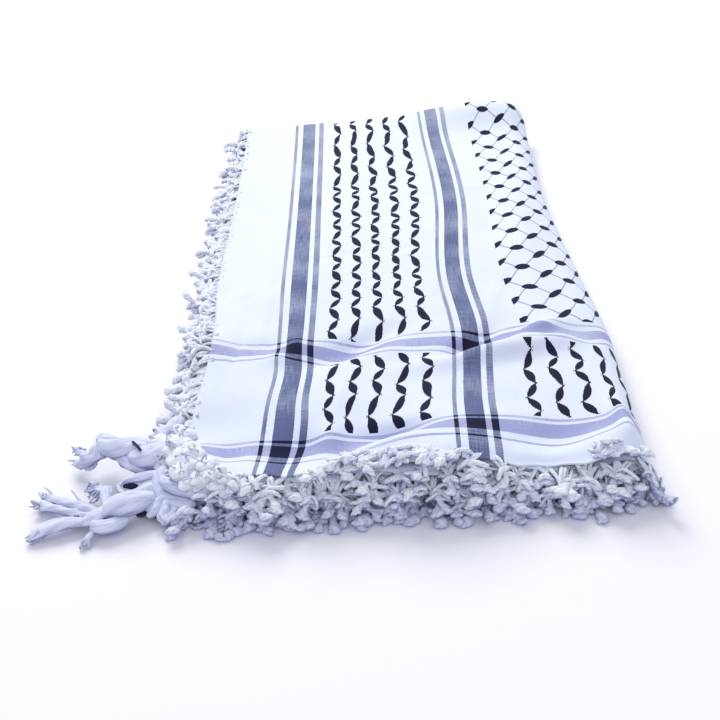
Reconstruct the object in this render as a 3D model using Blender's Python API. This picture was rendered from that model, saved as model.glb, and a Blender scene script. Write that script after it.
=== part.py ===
"""Keffiyeh headscarf: one fringed cotton square, folded in eight and lying flat.

The square is folded in half front to back, then twice side to side. Its stretch that
shows is a wall of cloth: over the top, round the fold on the right, underneath, and up
round the small fold at the lower left. The layers inside it are one solid with a step
for each layer. Fringe lies along the front and the left, and the square's four corner
tassels meet at the front left corner.

Metres. X runs to the right, Y away from the fringed front, Z up. The design is worked
out from the left end of the front edge, and moved at the end so that the origin is the
bottom centre of the whole scarf.
"""
import math

import bmesh
import bpy
import numpy as np

# Folded cloth
LEAF_WIDTH = 0.304          # left edge to the outside of the right fold
LEAF_DEPTH = 0.600          # front edge to the back fold
CLOTH = 0.0020              # wall of the stretch that shows
SEAM = 0.0003               # gap between touching pieces
SLACK = 0.0020              # gap between the cloth wall and the layers inside it
FOLD_REACH = 0.022          # how far the right fold rounds off, along X
SMALL_FOLD = 0.0080         # radius of the fold at the lower left
SMALL_FOLD_TURN = math.radians(169.0)
BACK_CURL = 0.0035          # radius of the curl along the back fold
CURL_TURN = math.radians(120.0)
SECTION_STEPS = {"top": 20, "right": 8, "under": 6, "small": 6}
DEPTH_ROWS = 22
CURL_ROWS = 3

# Layers inside the cloth wall
HIDDEN_LAYERS = 7
LOW_LAYERS = 3              # of those, the ones that lie inside the small fold
LAYER_STEP = 0.0022         # how far one layer's edge stands proud of the next
LAYER_EDGE = 0.0035         # how far the upper layers stay in from the left
LAYER_FRONT = 0.0012        # how far all layers stay in from the front
FRONT_FADE = 4.0            # how fast the steps at the front die away with depth
HIDDEN_STEPS = (18, 20)     # divisions across and along

# Height of the top of the cloth along its depth
BASE_HEIGHTS = (
    # depth, height
    (0.000, 0.0323),
    (0.040, 0.0318),
    (0.090, 0.0330),
    (0.150, 0.0305),
    (0.220, 0.0292),
    (0.300, 0.0288),
    (0.450, 0.0300),
    (0.560, 0.0335),
    (0.600, 0.0370),
)

# Swells and troughs of the top leaf, which add to that height
SWELLS = (
    # x, y, half length, half width, turn in degrees, height
    (0.074, 0.0285, 0.031, 0.026, 0.0, -0.0105),    # trough behind the front left edge
    (0.122, 0.0400, 0.028, 0.028, 0.0, -0.0055),
    (0.176, 0.0350, 0.034, 0.023, 0.0, 0.0068),     # swell at the front edge
    (0.249, 0.0280, 0.028, 0.030, 0.0, -0.0075),    # trough by the front right corner
    (0.293, 0.0370, 0.011, 0.028, 0.0, 0.0088),     # small fold at that corner
    (0.222, 0.1290, 0.063, 0.011, 12.0, 0.0095),    # tuck that runs across the stripe
    (0.030, 0.0600, 0.040, 0.025, 0.0, -0.0060),    # hollow behind the tassels
    (0.090, 0.1520, 0.034, 0.022, 5.0, -0.0045),    # dip beside that tuck
    (0.030, 0.4070, 0.040, 0.150, 0.0, -0.0085),    # lower left side
    (0.092, 0.1970, 0.041, 0.051, 0.0, -0.0030),
    (0.264, 0.3340, 0.018, 0.095, -3.0, 0.0053),    # long rise beside the right fold
    (0.136, 0.5550, 0.043, 0.051, 0.0, 0.0053),
    (0.250, 0.5940, 0.075, 0.028, 0.0, 0.0150),     # lip of the back fold at the right
)
HIDDEN_SAG = 1.20           # how much deeper the layers inside lie in each trough
FRONT_CROWDING = 1.45       # sections lie closer together towards the front
HAIR = 1e-6                 # smallest share that counts as a difference

# Fringe
FRINGE_REACH = 0.026        # cloth edge to the tips of the tufts
LEFT_FRINGE_MORE = 0.003    # how much longer it lies on the left
ROW_SHORTER = 0.0021        # how much shorter each row is than the one above it
FRONT_FRINGE_START = 0.004
FRONT_FRINGE_PAST = 0.006   # how far it goes on round the right fold
RIGHT_SHORTENING = 0.35     # share of its reach that the front fringe loses there
LEFT_FRINGE_PAST = 0.004    # how far it goes on past the back fold
TUFT_PITCH = 0.025          # one wave of the tips in these plain solids
TUFT_WAVE = 0.0020
TUFT_SHIFT = 0.39           # share of a wave by which each row is shifted
FRONT_FRINGE_STEPS = (20, 2, 1)
LEFT_FRINGE_STEPS = (26, 2, 1)
FRONT_ROWS = 4              # each stands for the fringe of two leaves
LEFT_ROWS = 2
LEFT_FRINGE_START = 0.0720  # the corner tassels take the place of the fringe before this
TIP_SHARE = 0.62            # height at the tips, as a share of that at the cloth
LEFT_TIP_SHARE = 0.80

# Finishes: colour and roughness
CLOTH_FINISH = ((0.83, 0.87, 0.93), 0.90)
LAYERS_FINISH = ((0.72, 0.75, 0.85), 0.92)
FRONT_FRINGE_FINISH = ((0.78, 0.80, 0.90), 0.95)
LEFT_FRINGE_FINISH = ((0.80, 0.83, 0.92), 0.95)
TASSEL_FINISH = ((0.74, 0.76, 0.90), 0.92)

TASSEL_SIDES = 2            # rounds of the tubes' corners

# Corner tassels: each route runs from the cloth's corner to the tip
TASSELS = {
    "tassel_high": (
        # x, y, z, radius
        (-0.0022, 0.0440, 0.0225, 0.0060),
        (-0.0200, 0.0520, 0.0225, 0.0075),
        (-0.0370, 0.0595, 0.0205, 0.0085),
        (-0.0530, 0.0600, 0.0165, 0.0080),
        (-0.0680, 0.0560, 0.0125, 0.0068),
        (-0.0830, 0.0490, 0.0100, 0.0062),
    ),
    "tassel_short": (
        (-0.0022, 0.0290, 0.0175, 0.0060),
        (-0.0150, 0.0340, 0.0165, 0.0085),
        (-0.0270, 0.0390, 0.0150, 0.0080),
        (-0.0350, 0.0415, 0.0135, 0.0045),
    ),
    "tassel_low": (
        (-0.0022, 0.0110, 0.0115, 0.0060),
        (-0.0170, 0.0080, 0.0120, 0.0095),
        (-0.0320, 0.0020, 0.0115, 0.0105),
        (-0.0450, -0.0060, 0.0100, 0.0090),
        (-0.0540, -0.0120, 0.0085, 0.0065),
    ),
    "tassel_low_yarn_back": (
        (-0.0600, -0.0080, 0.0062, 0.0042),
        (-0.0730, 0.0020, 0.0058, 0.0052),
        (-0.0860, 0.0110, 0.0056, 0.0050),
        (-0.0960, 0.0170, 0.0056, 0.0045),
    ),
    "tassel_low_yarn_front": (
        (-0.0610, -0.0170, 0.0066, 0.0045),
        (-0.0740, -0.0190, 0.0070, 0.0064),
        (-0.0880, -0.0205, 0.0068, 0.0064),
        (-0.1010, -0.0215, 0.0050, 0.0040),
    ),
    "tassel_behind": (
        (-0.0012, 0.0230, 0.0050, 0.0040),
        (-0.0220, 0.0240, 0.0055, 0.0050),
        (-0.0420, 0.0230, 0.0062, 0.0058),
        (-0.0620, 0.0200, 0.0060, 0.0050),
    ),
}


def smooth_curve(stations, values, at):
    """Read a table of values at its stations as a smooth curve through them."""
    stations = np.asarray(stations, dtype=float)
    values = np.asarray(values, dtype=float)
    slopes = np.gradient(values, stations, axis=0)
    at = np.clip(at, stations[0], stations[-1])
    left = np.clip(np.searchsorted(stations, at, side="right") - 1, 0, len(stations) - 2)
    span = stations[left + 1] - stations[left]
    share = (at - stations[left]) / span
    if values.ndim > 1:
        span = span[:, None]
        share = share[:, None]
    rise = share * share * (3.0 - 2.0 * share)
    lead = share * (1.0 - share) ** 2 * span
    trail = share * share * (share - 1.0) * span
    return (values[left] * (1.0 - rise) + values[left + 1] * rise
            + slopes[left] * lead + slopes[left + 1] * trail)


def top_height(x, y, rise=1.0, sag=1.0):
    """Height of the top of the cloth: the base and its swells, with their heights scaled."""
    base = np.array(BASE_HEIGHTS)
    total = smooth_curve(base[:, 0], base[:, 1], y)
    for middle_x, middle_y, half_length, half_width, turn, height in SWELLS:
        cosine = math.cos(math.radians(turn))
        sine = math.sin(math.radians(turn))
        along = (x - middle_x) * cosine + (y - middle_y) * sine
        beside = (y - middle_y) * cosine - (x - middle_x) * sine
        fade = np.exp(-(along / half_length) ** 2 - (beside / half_width) ** 2)
        total = total + height * (rise if height > 0.0 else sag) * fade
    return total


def hidden_height(x, y):
    """Height of the layers inside: they lie under the troughs and leave the swells hollow."""
    return top_height(x, y, rise=0.0, sag=HIDDEN_SAG)


def lattice_solid(name, steps, place, look):
    """Make a closed body from the outside of a bent block.

    steps are the block's divisions along its three directions, and place turns shares
    from 0 to 1 along those directions into positions. look is its colour and roughness.
    """
    shares = np.meshgrid(*[np.linspace(0.0, 1.0, count + 1) for count in steps], indexing="ij")
    points = np.stack(place(*shares), axis=-1).reshape(-1, 3)
    index = np.arange(len(points)).reshape([count + 1 for count in steps])
    faces = []
    for axis in range(3):
        for end in (0, -1):
            side = np.take(index, end, axis=axis)
            corners = (side[:-1, :-1], side[1:, :-1], side[1:, 1:], side[:-1, 1:])
            faces.append(np.stack(corners, axis=-1).reshape(-1, 4))
    faces = np.concatenate(faces)
    used, faces = np.unique(faces, return_inverse=True)
    mesh = bpy.data.meshes.new(name)
    mesh.from_pydata(points[used].tolist(), [], faces.reshape(-1, 4).tolist())
    body = bmesh.new()
    body.from_mesh(mesh)
    bmesh.ops.recalc_face_normals(body, faces=body.faces)
    body.to_mesh(mesh)
    body.free()
    return finish(name, mesh, look)


def finish(name, data, look):
    """Put the data into the scene as a named object with its own material."""
    colour, roughness = look
    thing = bpy.data.objects.new(name, data)
    bpy.context.scene.collection.objects.link(thing)
    material = bpy.data.materials.new(name)
    material.use_nodes = True
    shader = material.node_tree.nodes["Principled BSDF"]
    shader.inputs["Base Color"].default_value = (*colour, 1.0)
    shader.inputs["Roughness"].default_value = roughness
    shader.inputs["Metallic"].default_value = 0.0
    data.materials.append(material)
    return thing


def wall_section(share, y):
    """Outside of the cloth wall and its inward direction, along the section at depth y."""
    counts = np.array(list(SECTION_STEPS.values()))
    ends = np.concatenate([[0], np.cumsum(counts)]) / counts.sum()
    shoulder = LEAF_WIDTH - FOLD_REACH
    part = [np.clip((share - low) / (high - low), 0.0, 1.0)
            for low, high in zip(ends[:-1], ends[1:])]
    top_x = shoulder * part[0]
    top_z = top_height(top_x, y)
    half = top_height(np.full_like(y, shoulder), y) / 2.0
    turn = math.pi * part[1]
    right_x = shoulder + FOLD_REACH * np.sin(turn)
    right_z = half * (1.0 + np.cos(turn))
    under_x = shoulder + (SMALL_FOLD - shoulder) * part[2]
    swing = SMALL_FOLD_TURN * part[3]
    small_x = SMALL_FOLD * (1.0 - np.sin(swing))
    small_z = SMALL_FOLD * (1.0 - np.cos(swing))
    zone = np.digitize(share, ends[1:-1] + HAIR)
    x = np.choose(zone, (top_x, right_x, under_x, small_x))
    z = np.choose(zone, (top_z, right_z, np.zeros_like(y), small_z))
    inward_x = np.choose(zone, (np.zeros_like(y), -np.sin(turn) * half, np.zeros_like(y),
                                np.sin(swing)))
    inward_z = np.choose(zone, (-np.ones_like(y), -np.cos(turn) * FOLD_REACH, np.ones_like(y),
                                np.cos(swing)))
    size = np.hypot(inward_x, inward_z)
    return x, z, inward_x / size, inward_z / size


def outer_cloth():
    """The stretch of cloth that shows: a wall through sections along the depth."""
    rows = DEPTH_ROWS + CURL_ROWS

    def place(across, along, through):
        row = along * rows
        y = LEAF_DEPTH * np.clip(row / DEPTH_ROWS, 0.0, 1.0) ** FRONT_CROWDING
        turn = CURL_TURN * np.clip((row - DEPTH_ROWS) / CURL_ROWS, 0.0, 1.0)
        x, z, inward_x, inward_z = wall_section(across, y)
        radius = BACK_CURL - CLOTH * through
        depth = CLOTH * through + radius * (1.0 - np.cos(turn))
        return (x + inward_x * depth, y + radius * np.sin(turn), z + inward_z * depth)

    steps = (sum(SECTION_STEPS.values()), rows, 1)
    return lattice_solid("cloth_outer", steps, place, CLOTH_FINISH)


def layer_wave(share):
    """1 in the middle of each layer and 0 between two layers, for shares of the height."""
    return np.abs(np.sin(math.pi * HIDDEN_LAYERS * share))


def hidden_layers():
    """The layers inside the cloth wall, one solid with a step for each layer.

    Its levels come in two groups: the lower ones fill the small fold, and the upper ones
    reach to the left edge above that fold.
    """
    inset = CLOTH + SLACK
    shoulder = LEAF_WIDTH - FOLD_REACH
    small_top = 2.0 * SMALL_FOLD + SLACK
    low_levels = 2 * LOW_LAYERS
    notch_x = SMALL_FOLD + SLACK

    def place(across, along, upward):
        levels = 2 * HIDDEN_LAYERS
        level = upward * levels
        low = np.clip(level / low_levels, 0.0, 1.0)
        high = np.clip((level - low_levels - 1) / (levels - low_levels - 1), 0.0, 1.0)
        inner = SMALL_FOLD - inset
        low_z = SMALL_FOLD - inner * np.cos(math.pi * low)
        low_left = SMALL_FOLD - inner * np.sin(math.pi * low)
        y_flat = LEAF_DEPTH * along ** FRONT_CROWDING
        half = top_height(np.full_like(y_flat, shoulder), y_flat) / 2.0
        ceiling = hidden_height(across * shoulder, y_flat) - inset
        high_z = small_top + (ceiling - small_top) * high
        in_low = level <= low_levels + HAIR
        z = np.where(in_low, low_z, high_z)
        step = LAYER_STEP * layer_wave(upward)
        low_top = np.abs(level - low_levels) < HAIR
        notch = np.abs(level - low_levels - 1) < HAIR
        left = np.where(in_low, low_left, LAYER_EDGE - step)
        left = np.where(low_top | notch, notch_x, left)
        tall = np.clip((z - half) / (half - inset), -1.0, 1.0)
        right = shoulder + (FOLD_REACH - inset) * np.sqrt(np.maximum(0.0, 1.0 - tall ** 2))
        x = left + (right - left) * across
        deep = np.minimum.reduce([ceiling + inset - z, z, right - x + inset, x])
        bulge = np.where(deep > 2.0 * BACK_CURL + SLACK, step, 0.0) * (along > 1.0 - HAIR)
        front = (LAYER_FRONT + LAYER_STEP - step) * (1.0 - along) ** FRONT_FADE
        y = front + y_flat * (LEAF_DEPTH - SEAM) / LEAF_DEPTH + bulge
        return x, y, z

    return lattice_solid("cloth_layers", (*HIDDEN_STEPS, 2 * HIDDEN_LAYERS), place,
                         LAYERS_FINISH)


def front_fringe(number):
    """One row of the front fringe, from the top down, as a plain solid of its reach."""
    start = FRONT_FRINGE_START
    stop = LEAF_WIDTH + FRONT_FRINGE_PAST
    shoulder = LEAF_WIDTH - FOLD_REACH

    def place(along, out, upward):
        x = start + (stop - start) * along
        edge = top_height(np.clip(x, 0.0, shoulder), np.zeros_like(x))
        pitch = edge / FRONT_ROWS
        below = FRONT_ROWS - 1 - number
        root = pitch * below + (pitch - SEAM) * upward
        wave = TUFT_WAVE * np.sin(2.0 * math.pi * (x / TUFT_PITCH + TUFT_SHIFT * number))
        round_right = np.maximum((x - shoulder) / FOLD_REACH, 0.0)
        longest = FRINGE_REACH * (1.0 - RIGHT_SHORTENING * round_right ** 2)
        reach = longest + wave - ROW_SHORTER * number
        z = root * (1.0 - (1.0 - TIP_SHARE) * reach * out / FRINGE_REACH)
        return x, -SEAM - reach * out, z

    return lattice_solid(f"fringe_front_{number + 1}", FRONT_FRINGE_STEPS, place,
                         FRONT_FRINGE_FINISH)


def left_fringe(number):
    """One row of the left fringe, from the top down, as a plain solid of its reach."""
    start = LEFT_FRINGE_START
    stop = LEAF_DEPTH + LEFT_FRINGE_PAST

    def place(along, out, upward):
        y = start + (stop - start) * along
        edge = top_height(np.zeros_like(y), np.clip(y, 0.0, LEAF_DEPTH))
        low = 2.0 * SMALL_FOLD + SEAM
        pitch = (edge - low) / LEFT_ROWS
        below = LEFT_ROWS - 1 - number
        root = low + pitch * below + (pitch - SEAM) * upward
        wave = TUFT_WAVE * np.sin(2.0 * math.pi * (y / TUFT_PITCH + TUFT_SHIFT * number))
        reach = FRINGE_REACH + LEFT_FRINGE_MORE + wave - ROW_SHORTER * number
        z = root * (1.0 - (1.0 - LEFT_TIP_SHARE) * reach * out / FRINGE_REACH)
        return -SEAM - reach * out, y, z

    return lattice_solid(f"fringe_left_{number + 1}", LEFT_FRINGE_STEPS, place,
                         LEFT_FRINGE_FINISH)


def tassel(name, route):
    """One stretch of a corner tassel: a tube of changing radius along its route."""
    curve = bpy.data.curves.new(name, "CURVE")
    curve.dimensions = "3D"
    curve.bevel_depth = 1.0
    curve.bevel_resolution = TASSEL_SIDES
    curve.use_fill_caps = True
    points = np.array(route)
    stations = np.linspace(0.0, 1.0, len(points))
    fine = smooth_curve(stations, points, np.linspace(0.0, 1.0, 2 * len(points) - 1))
    spline = curve.splines.new("POLY")
    spline.points.add(len(fine) - 1)
    for point, (x, y, z, radius) in zip(spline.points, fine):
        point.co = (x, y, z, 1.0)
        point.radius = radius
    return finish(name, curve, TASSEL_FINISH)


def centre_on_origin(things):
    """Move every piece so that the origin is the bottom centre of the whole scarf."""
    bpy.context.view_layer.update()
    graph = bpy.context.evaluated_depsgraph_get()
    corners = []
    for thing in things:
        solid = thing.evaluated_get(graph)
        corners += [solid.matrix_world @ vertex.co for vertex in solid.to_mesh().vertices]
        solid.to_mesh_clear()
    corners = np.array(corners)
    low = corners.min(axis=0)
    high = corners.max(axis=0)
    for thing in things:
        thing.location = (-(low[0] + high[0]) / 2.0, -(low[1] + high[1]) / 2.0, -low[2])


def main():
    """Build the scarf."""
    for thing in list(bpy.data.objects):
        bpy.data.objects.remove(thing, do_unlink=True)
    things = [outer_cloth(), hidden_layers()]
    things += [front_fringe(number) for number in range(FRONT_ROWS)]
    things += [left_fringe(number) for number in range(LEFT_ROWS)]
    things += [tassel(name, route) for name, route in TASSELS.items()]
    centre_on_origin(things)


main()
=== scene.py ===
"""Keffiyeh headscarf: a fringed cotton square folded in eight, lying on a pale floor.

The form of the cloth, its woven pattern, the knotted fringe and the corner tassels are
each worked out here, on the frame of the CAD model. Metres throughout.
"""
import logging
import math
from dataclasses import dataclass
from enum import Enum

import bpy
import numpy as np
from mathutils import Matrix, Vector


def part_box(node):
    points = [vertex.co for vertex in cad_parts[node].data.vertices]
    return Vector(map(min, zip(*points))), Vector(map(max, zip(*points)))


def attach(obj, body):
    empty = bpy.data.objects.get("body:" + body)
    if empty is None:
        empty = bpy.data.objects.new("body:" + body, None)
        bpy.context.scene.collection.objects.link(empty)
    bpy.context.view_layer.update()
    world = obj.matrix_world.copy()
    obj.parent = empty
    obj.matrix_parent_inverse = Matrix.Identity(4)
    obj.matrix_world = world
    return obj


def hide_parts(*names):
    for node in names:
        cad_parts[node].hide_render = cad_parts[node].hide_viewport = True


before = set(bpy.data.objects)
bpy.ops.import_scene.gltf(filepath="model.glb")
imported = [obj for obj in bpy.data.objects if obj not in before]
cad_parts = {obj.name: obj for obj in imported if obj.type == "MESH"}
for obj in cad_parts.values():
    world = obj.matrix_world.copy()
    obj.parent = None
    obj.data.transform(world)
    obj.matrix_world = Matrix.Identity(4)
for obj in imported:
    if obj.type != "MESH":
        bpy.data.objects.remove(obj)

log = logging.getLogger("keffiyeh")
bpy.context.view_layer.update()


class Slot(Enum):
    """Material slots, by name."""

    COTTON = "woven_cotton"
    FRINGE = "fringe_yarn"
    TASSEL = "tassel_yarn"


class Edge(Enum):
    """Edges of the folded scarf that carry fringe."""

    FRONT = "front"
    LEFT = "left"


# --------------------------------------------------------------------------- shapes


def smooth_curve(stations: np.ndarray, values: np.ndarray, at: np.ndarray) -> np.ndarray:
    """Read a table of values as a smooth curve through its stations.

    Between two stations the value is the cubic 3t²−2t³ blend plus the slopes' share.

    Args:
        stations: rising places, (K,).
        values: values there, (K,) or (K, D).
        at: places to read at, any shape, or (M,) where values has columns.

    Returns:
        The values at those places.
    """
    stations = np.asarray(stations, dtype=float)
    values = np.asarray(values, dtype=float)
    slopes = np.gradient(values, stations, axis=0)
    at = np.clip(at, stations[0], stations[-1])
    left = np.clip(np.searchsorted(stations, at, side="right") - 1, 0, len(stations) - 2)
    span = stations[left + 1] - stations[left]
    share = (at - stations[left]) / span
    if values.ndim > 1:
        span, share = span[..., None], share[..., None]
    rise = share * share * (3.0 - 2.0 * share)
    lead = share * (1.0 - share) ** 2 * span
    trail = share * share * (share - 1.0) * span
    return (values[left] * (1.0 - rise) + values[left + 1] * rise
            + slopes[left] * lead + slopes[left + 1] * trail)


def unit(vectors: np.ndarray) -> np.ndarray:
    """Scale vectors, (..., 3), to length 1."""
    return vectors / np.maximum(np.linalg.norm(vectors, axis=-1, keepdims=True), 1e-12)


def new_object(name: str, data: bpy.types.ID) -> bpy.types.Object:
    """Make an object from its data and put it in the scene."""
    thing = bpy.data.objects.new(name, data)
    bpy.context.scene.collection.objects.link(thing)
    return thing


def waves(place: np.ndarray, table: list[tuple] | tuple) -> np.ndarray:
    """Sum of size·sin(2π·place/length + shift) over a table's rows."""
    return sum(size * np.sin(place * 2.0 * math.pi / length + shift)
               for size, length, shift in table)


@dataclass
class Shape:
    """Points with faces of one or more corner counts, and a map corner for each face corner."""

    points: np.ndarray
    faces: list[np.ndarray]
    maps: list[np.ndarray]

    def piece(self, name: str, material: bpy.types.Material, slot: Slot,
              origin: np.ndarray) -> bpy.types.Object:
        """Make the mesh object.

        Args:
            name: the object's name.
            material: its finish.
            slot: not used.
            origin: the cloth's front left corner on the floor, added to every point.

        Returns:
            The object, riding on the scarf's one body.
        """
        mesh = bpy.data.meshes.new(name)
        corners = np.concatenate([faces.ravel() for faces in self.faces])
        counts = np.concatenate([np.full(len(faces), faces.shape[1]) for faces in self.faces])
        mesh.vertices.add(len(self.points))
        mesh.loops.add(len(corners))
        mesh.polygons.add(len(counts))
        placed = (self.points + origin).astype(np.float32)
        mesh.vertices.foreach_set("co", placed.ravel())
        mesh.loops.foreach_set("vertex_index", corners.astype(np.int32))
        mesh.polygons.foreach_set("loop_start",
                                  (np.cumsum(counts) - counts).astype(np.int32))
        mesh.polygons.foreach_set("use_smooth", np.ones(len(counts), dtype=bool))
        layer = mesh.uv_layers.new(name="cut")
        flat = np.concatenate([corner.reshape(-1, 2) for corner in self.maps])
        layer.data.foreach_set("uv", flat.astype(np.float32).ravel())
        mesh.update(calc_edges=True)
        mesh.validate()
        mesh.materials.append(material)
        thing = new_object(name, mesh)
        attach(thing, "root")
        return thing


def gathered(shapes: list[Shape]) -> Shape:
    """Put shapes together in their order, each one's corners counted on from the last."""
    starts = np.cumsum([0] + [len(shape.points) for shape in shapes])
    return Shape(np.concatenate([shape.points for shape in shapes]),
                 [faces + start for shape, start in zip(shapes, starts) for faces in shape.faces],
                 [corner for shape in shapes for corner in shape.maps])


def grid_shape(points: np.ndarray, flat: np.ndarray) -> Shape:
    """Make the faces of a grid of points, (I, J, 3), whose flat places are (I, J, 2)."""
    index = np.arange(points.shape[0] * points.shape[1]).reshape(points.shape[:2])
    faces = np.stack([index[:-1, :-1], index[1:, :-1], index[1:, 1:], index[:-1, 1:]],
                     axis=-1).reshape(-1, 4)
    return Shape(points.reshape(-1, 3), [faces], [flat.reshape(-1, 2)[faces]])


def sweep(paths: np.ndarray, radii: np.ndarray, sides: int, flatness: float = 1.0,
          swell: np.ndarray | float = 1.0) -> Shape:
    """Make closed tubes along many paths at once.

    With t the unit tangent at ring j and n, b the directions across it, the point at
    angle a is C + r·w·(n·cos a + f·b·sin a), where w is the swell at that ring and angle.

    Args:
        paths: centre lines, (N, M, 3).
        radii: radius at each ring, (N, M).
        sides: corners of each ring.
        flatness: f, the section's height as a share of its width.
        swell: w, a share of the radius, (M, sides) or one value.

    Returns:
        The tubes, mapped by turn around and metres along.
    """
    count, rings = paths.shape[:2]
    tangent = unit(np.gradient(paths, axis=1))
    chord = unit(paths[:, -1] - paths[:, 0])
    helper = np.where(np.abs(chord[:, 2:3]) < 0.8, [[0.0, 0.0, 1.0]], [[1.0, 0.0, 0.0]])
    helper = np.broadcast_to(helper[:, None, :], tangent.shape)
    side = unit(np.cross(helper, tangent))
    up = np.cross(tangent, side)
    angle = np.linspace(0.0, 2.0 * math.pi, sides, endpoint=False)
    swell = np.broadcast_to(swell, (rings, sides))
    ring = (side[:, :, None, :] * (np.cos(angle) * swell)[None, :, :, None]
            + up[:, :, None, :] * (np.sin(angle) * swell * flatness)[None, :, :, None])
    points = paths[:, :, None, :] + radii[:, :, None, None] * ring
    index = np.arange(count * rings * sides).reshape(count, rings, sides)
    after = np.roll(index, -1, axis=2)
    walls = np.stack([index[:, :-1], after[:, :-1], after[:, 1:], index[:, 1:]], axis=-1)
    step = np.linalg.norm(np.diff(paths, axis=1), axis=2)
    run = np.concatenate([np.zeros((count, 1)), np.cumsum(step, axis=1)], axis=1)
    turn = np.arange(sides) / sides
    low = np.broadcast_to(turn, (count, rings - 1, sides))
    near = np.broadcast_to(run[:, :-1, None], low.shape)
    far = np.broadcast_to(run[:, 1:, None], low.shape)
    wall_map = np.stack([np.stack([low, near], -1), np.stack([low + 1 / sides, near], -1),
                         np.stack([low + 1 / sides, far], -1), np.stack([low, far], -1)], -2)
    caps = np.concatenate([index[:, 0, ::-1], index[:, -1]])
    cap_map = np.stack([np.broadcast_to(turn, caps.shape), np.zeros(caps.shape)], -1)
    return Shape(points.reshape(-1, 3), [walls.reshape(-1, 4), caps],
                 [wall_map.reshape(-1, 4, 2), cap_map])


# --------------------------------------------------------------------------- the form


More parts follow.
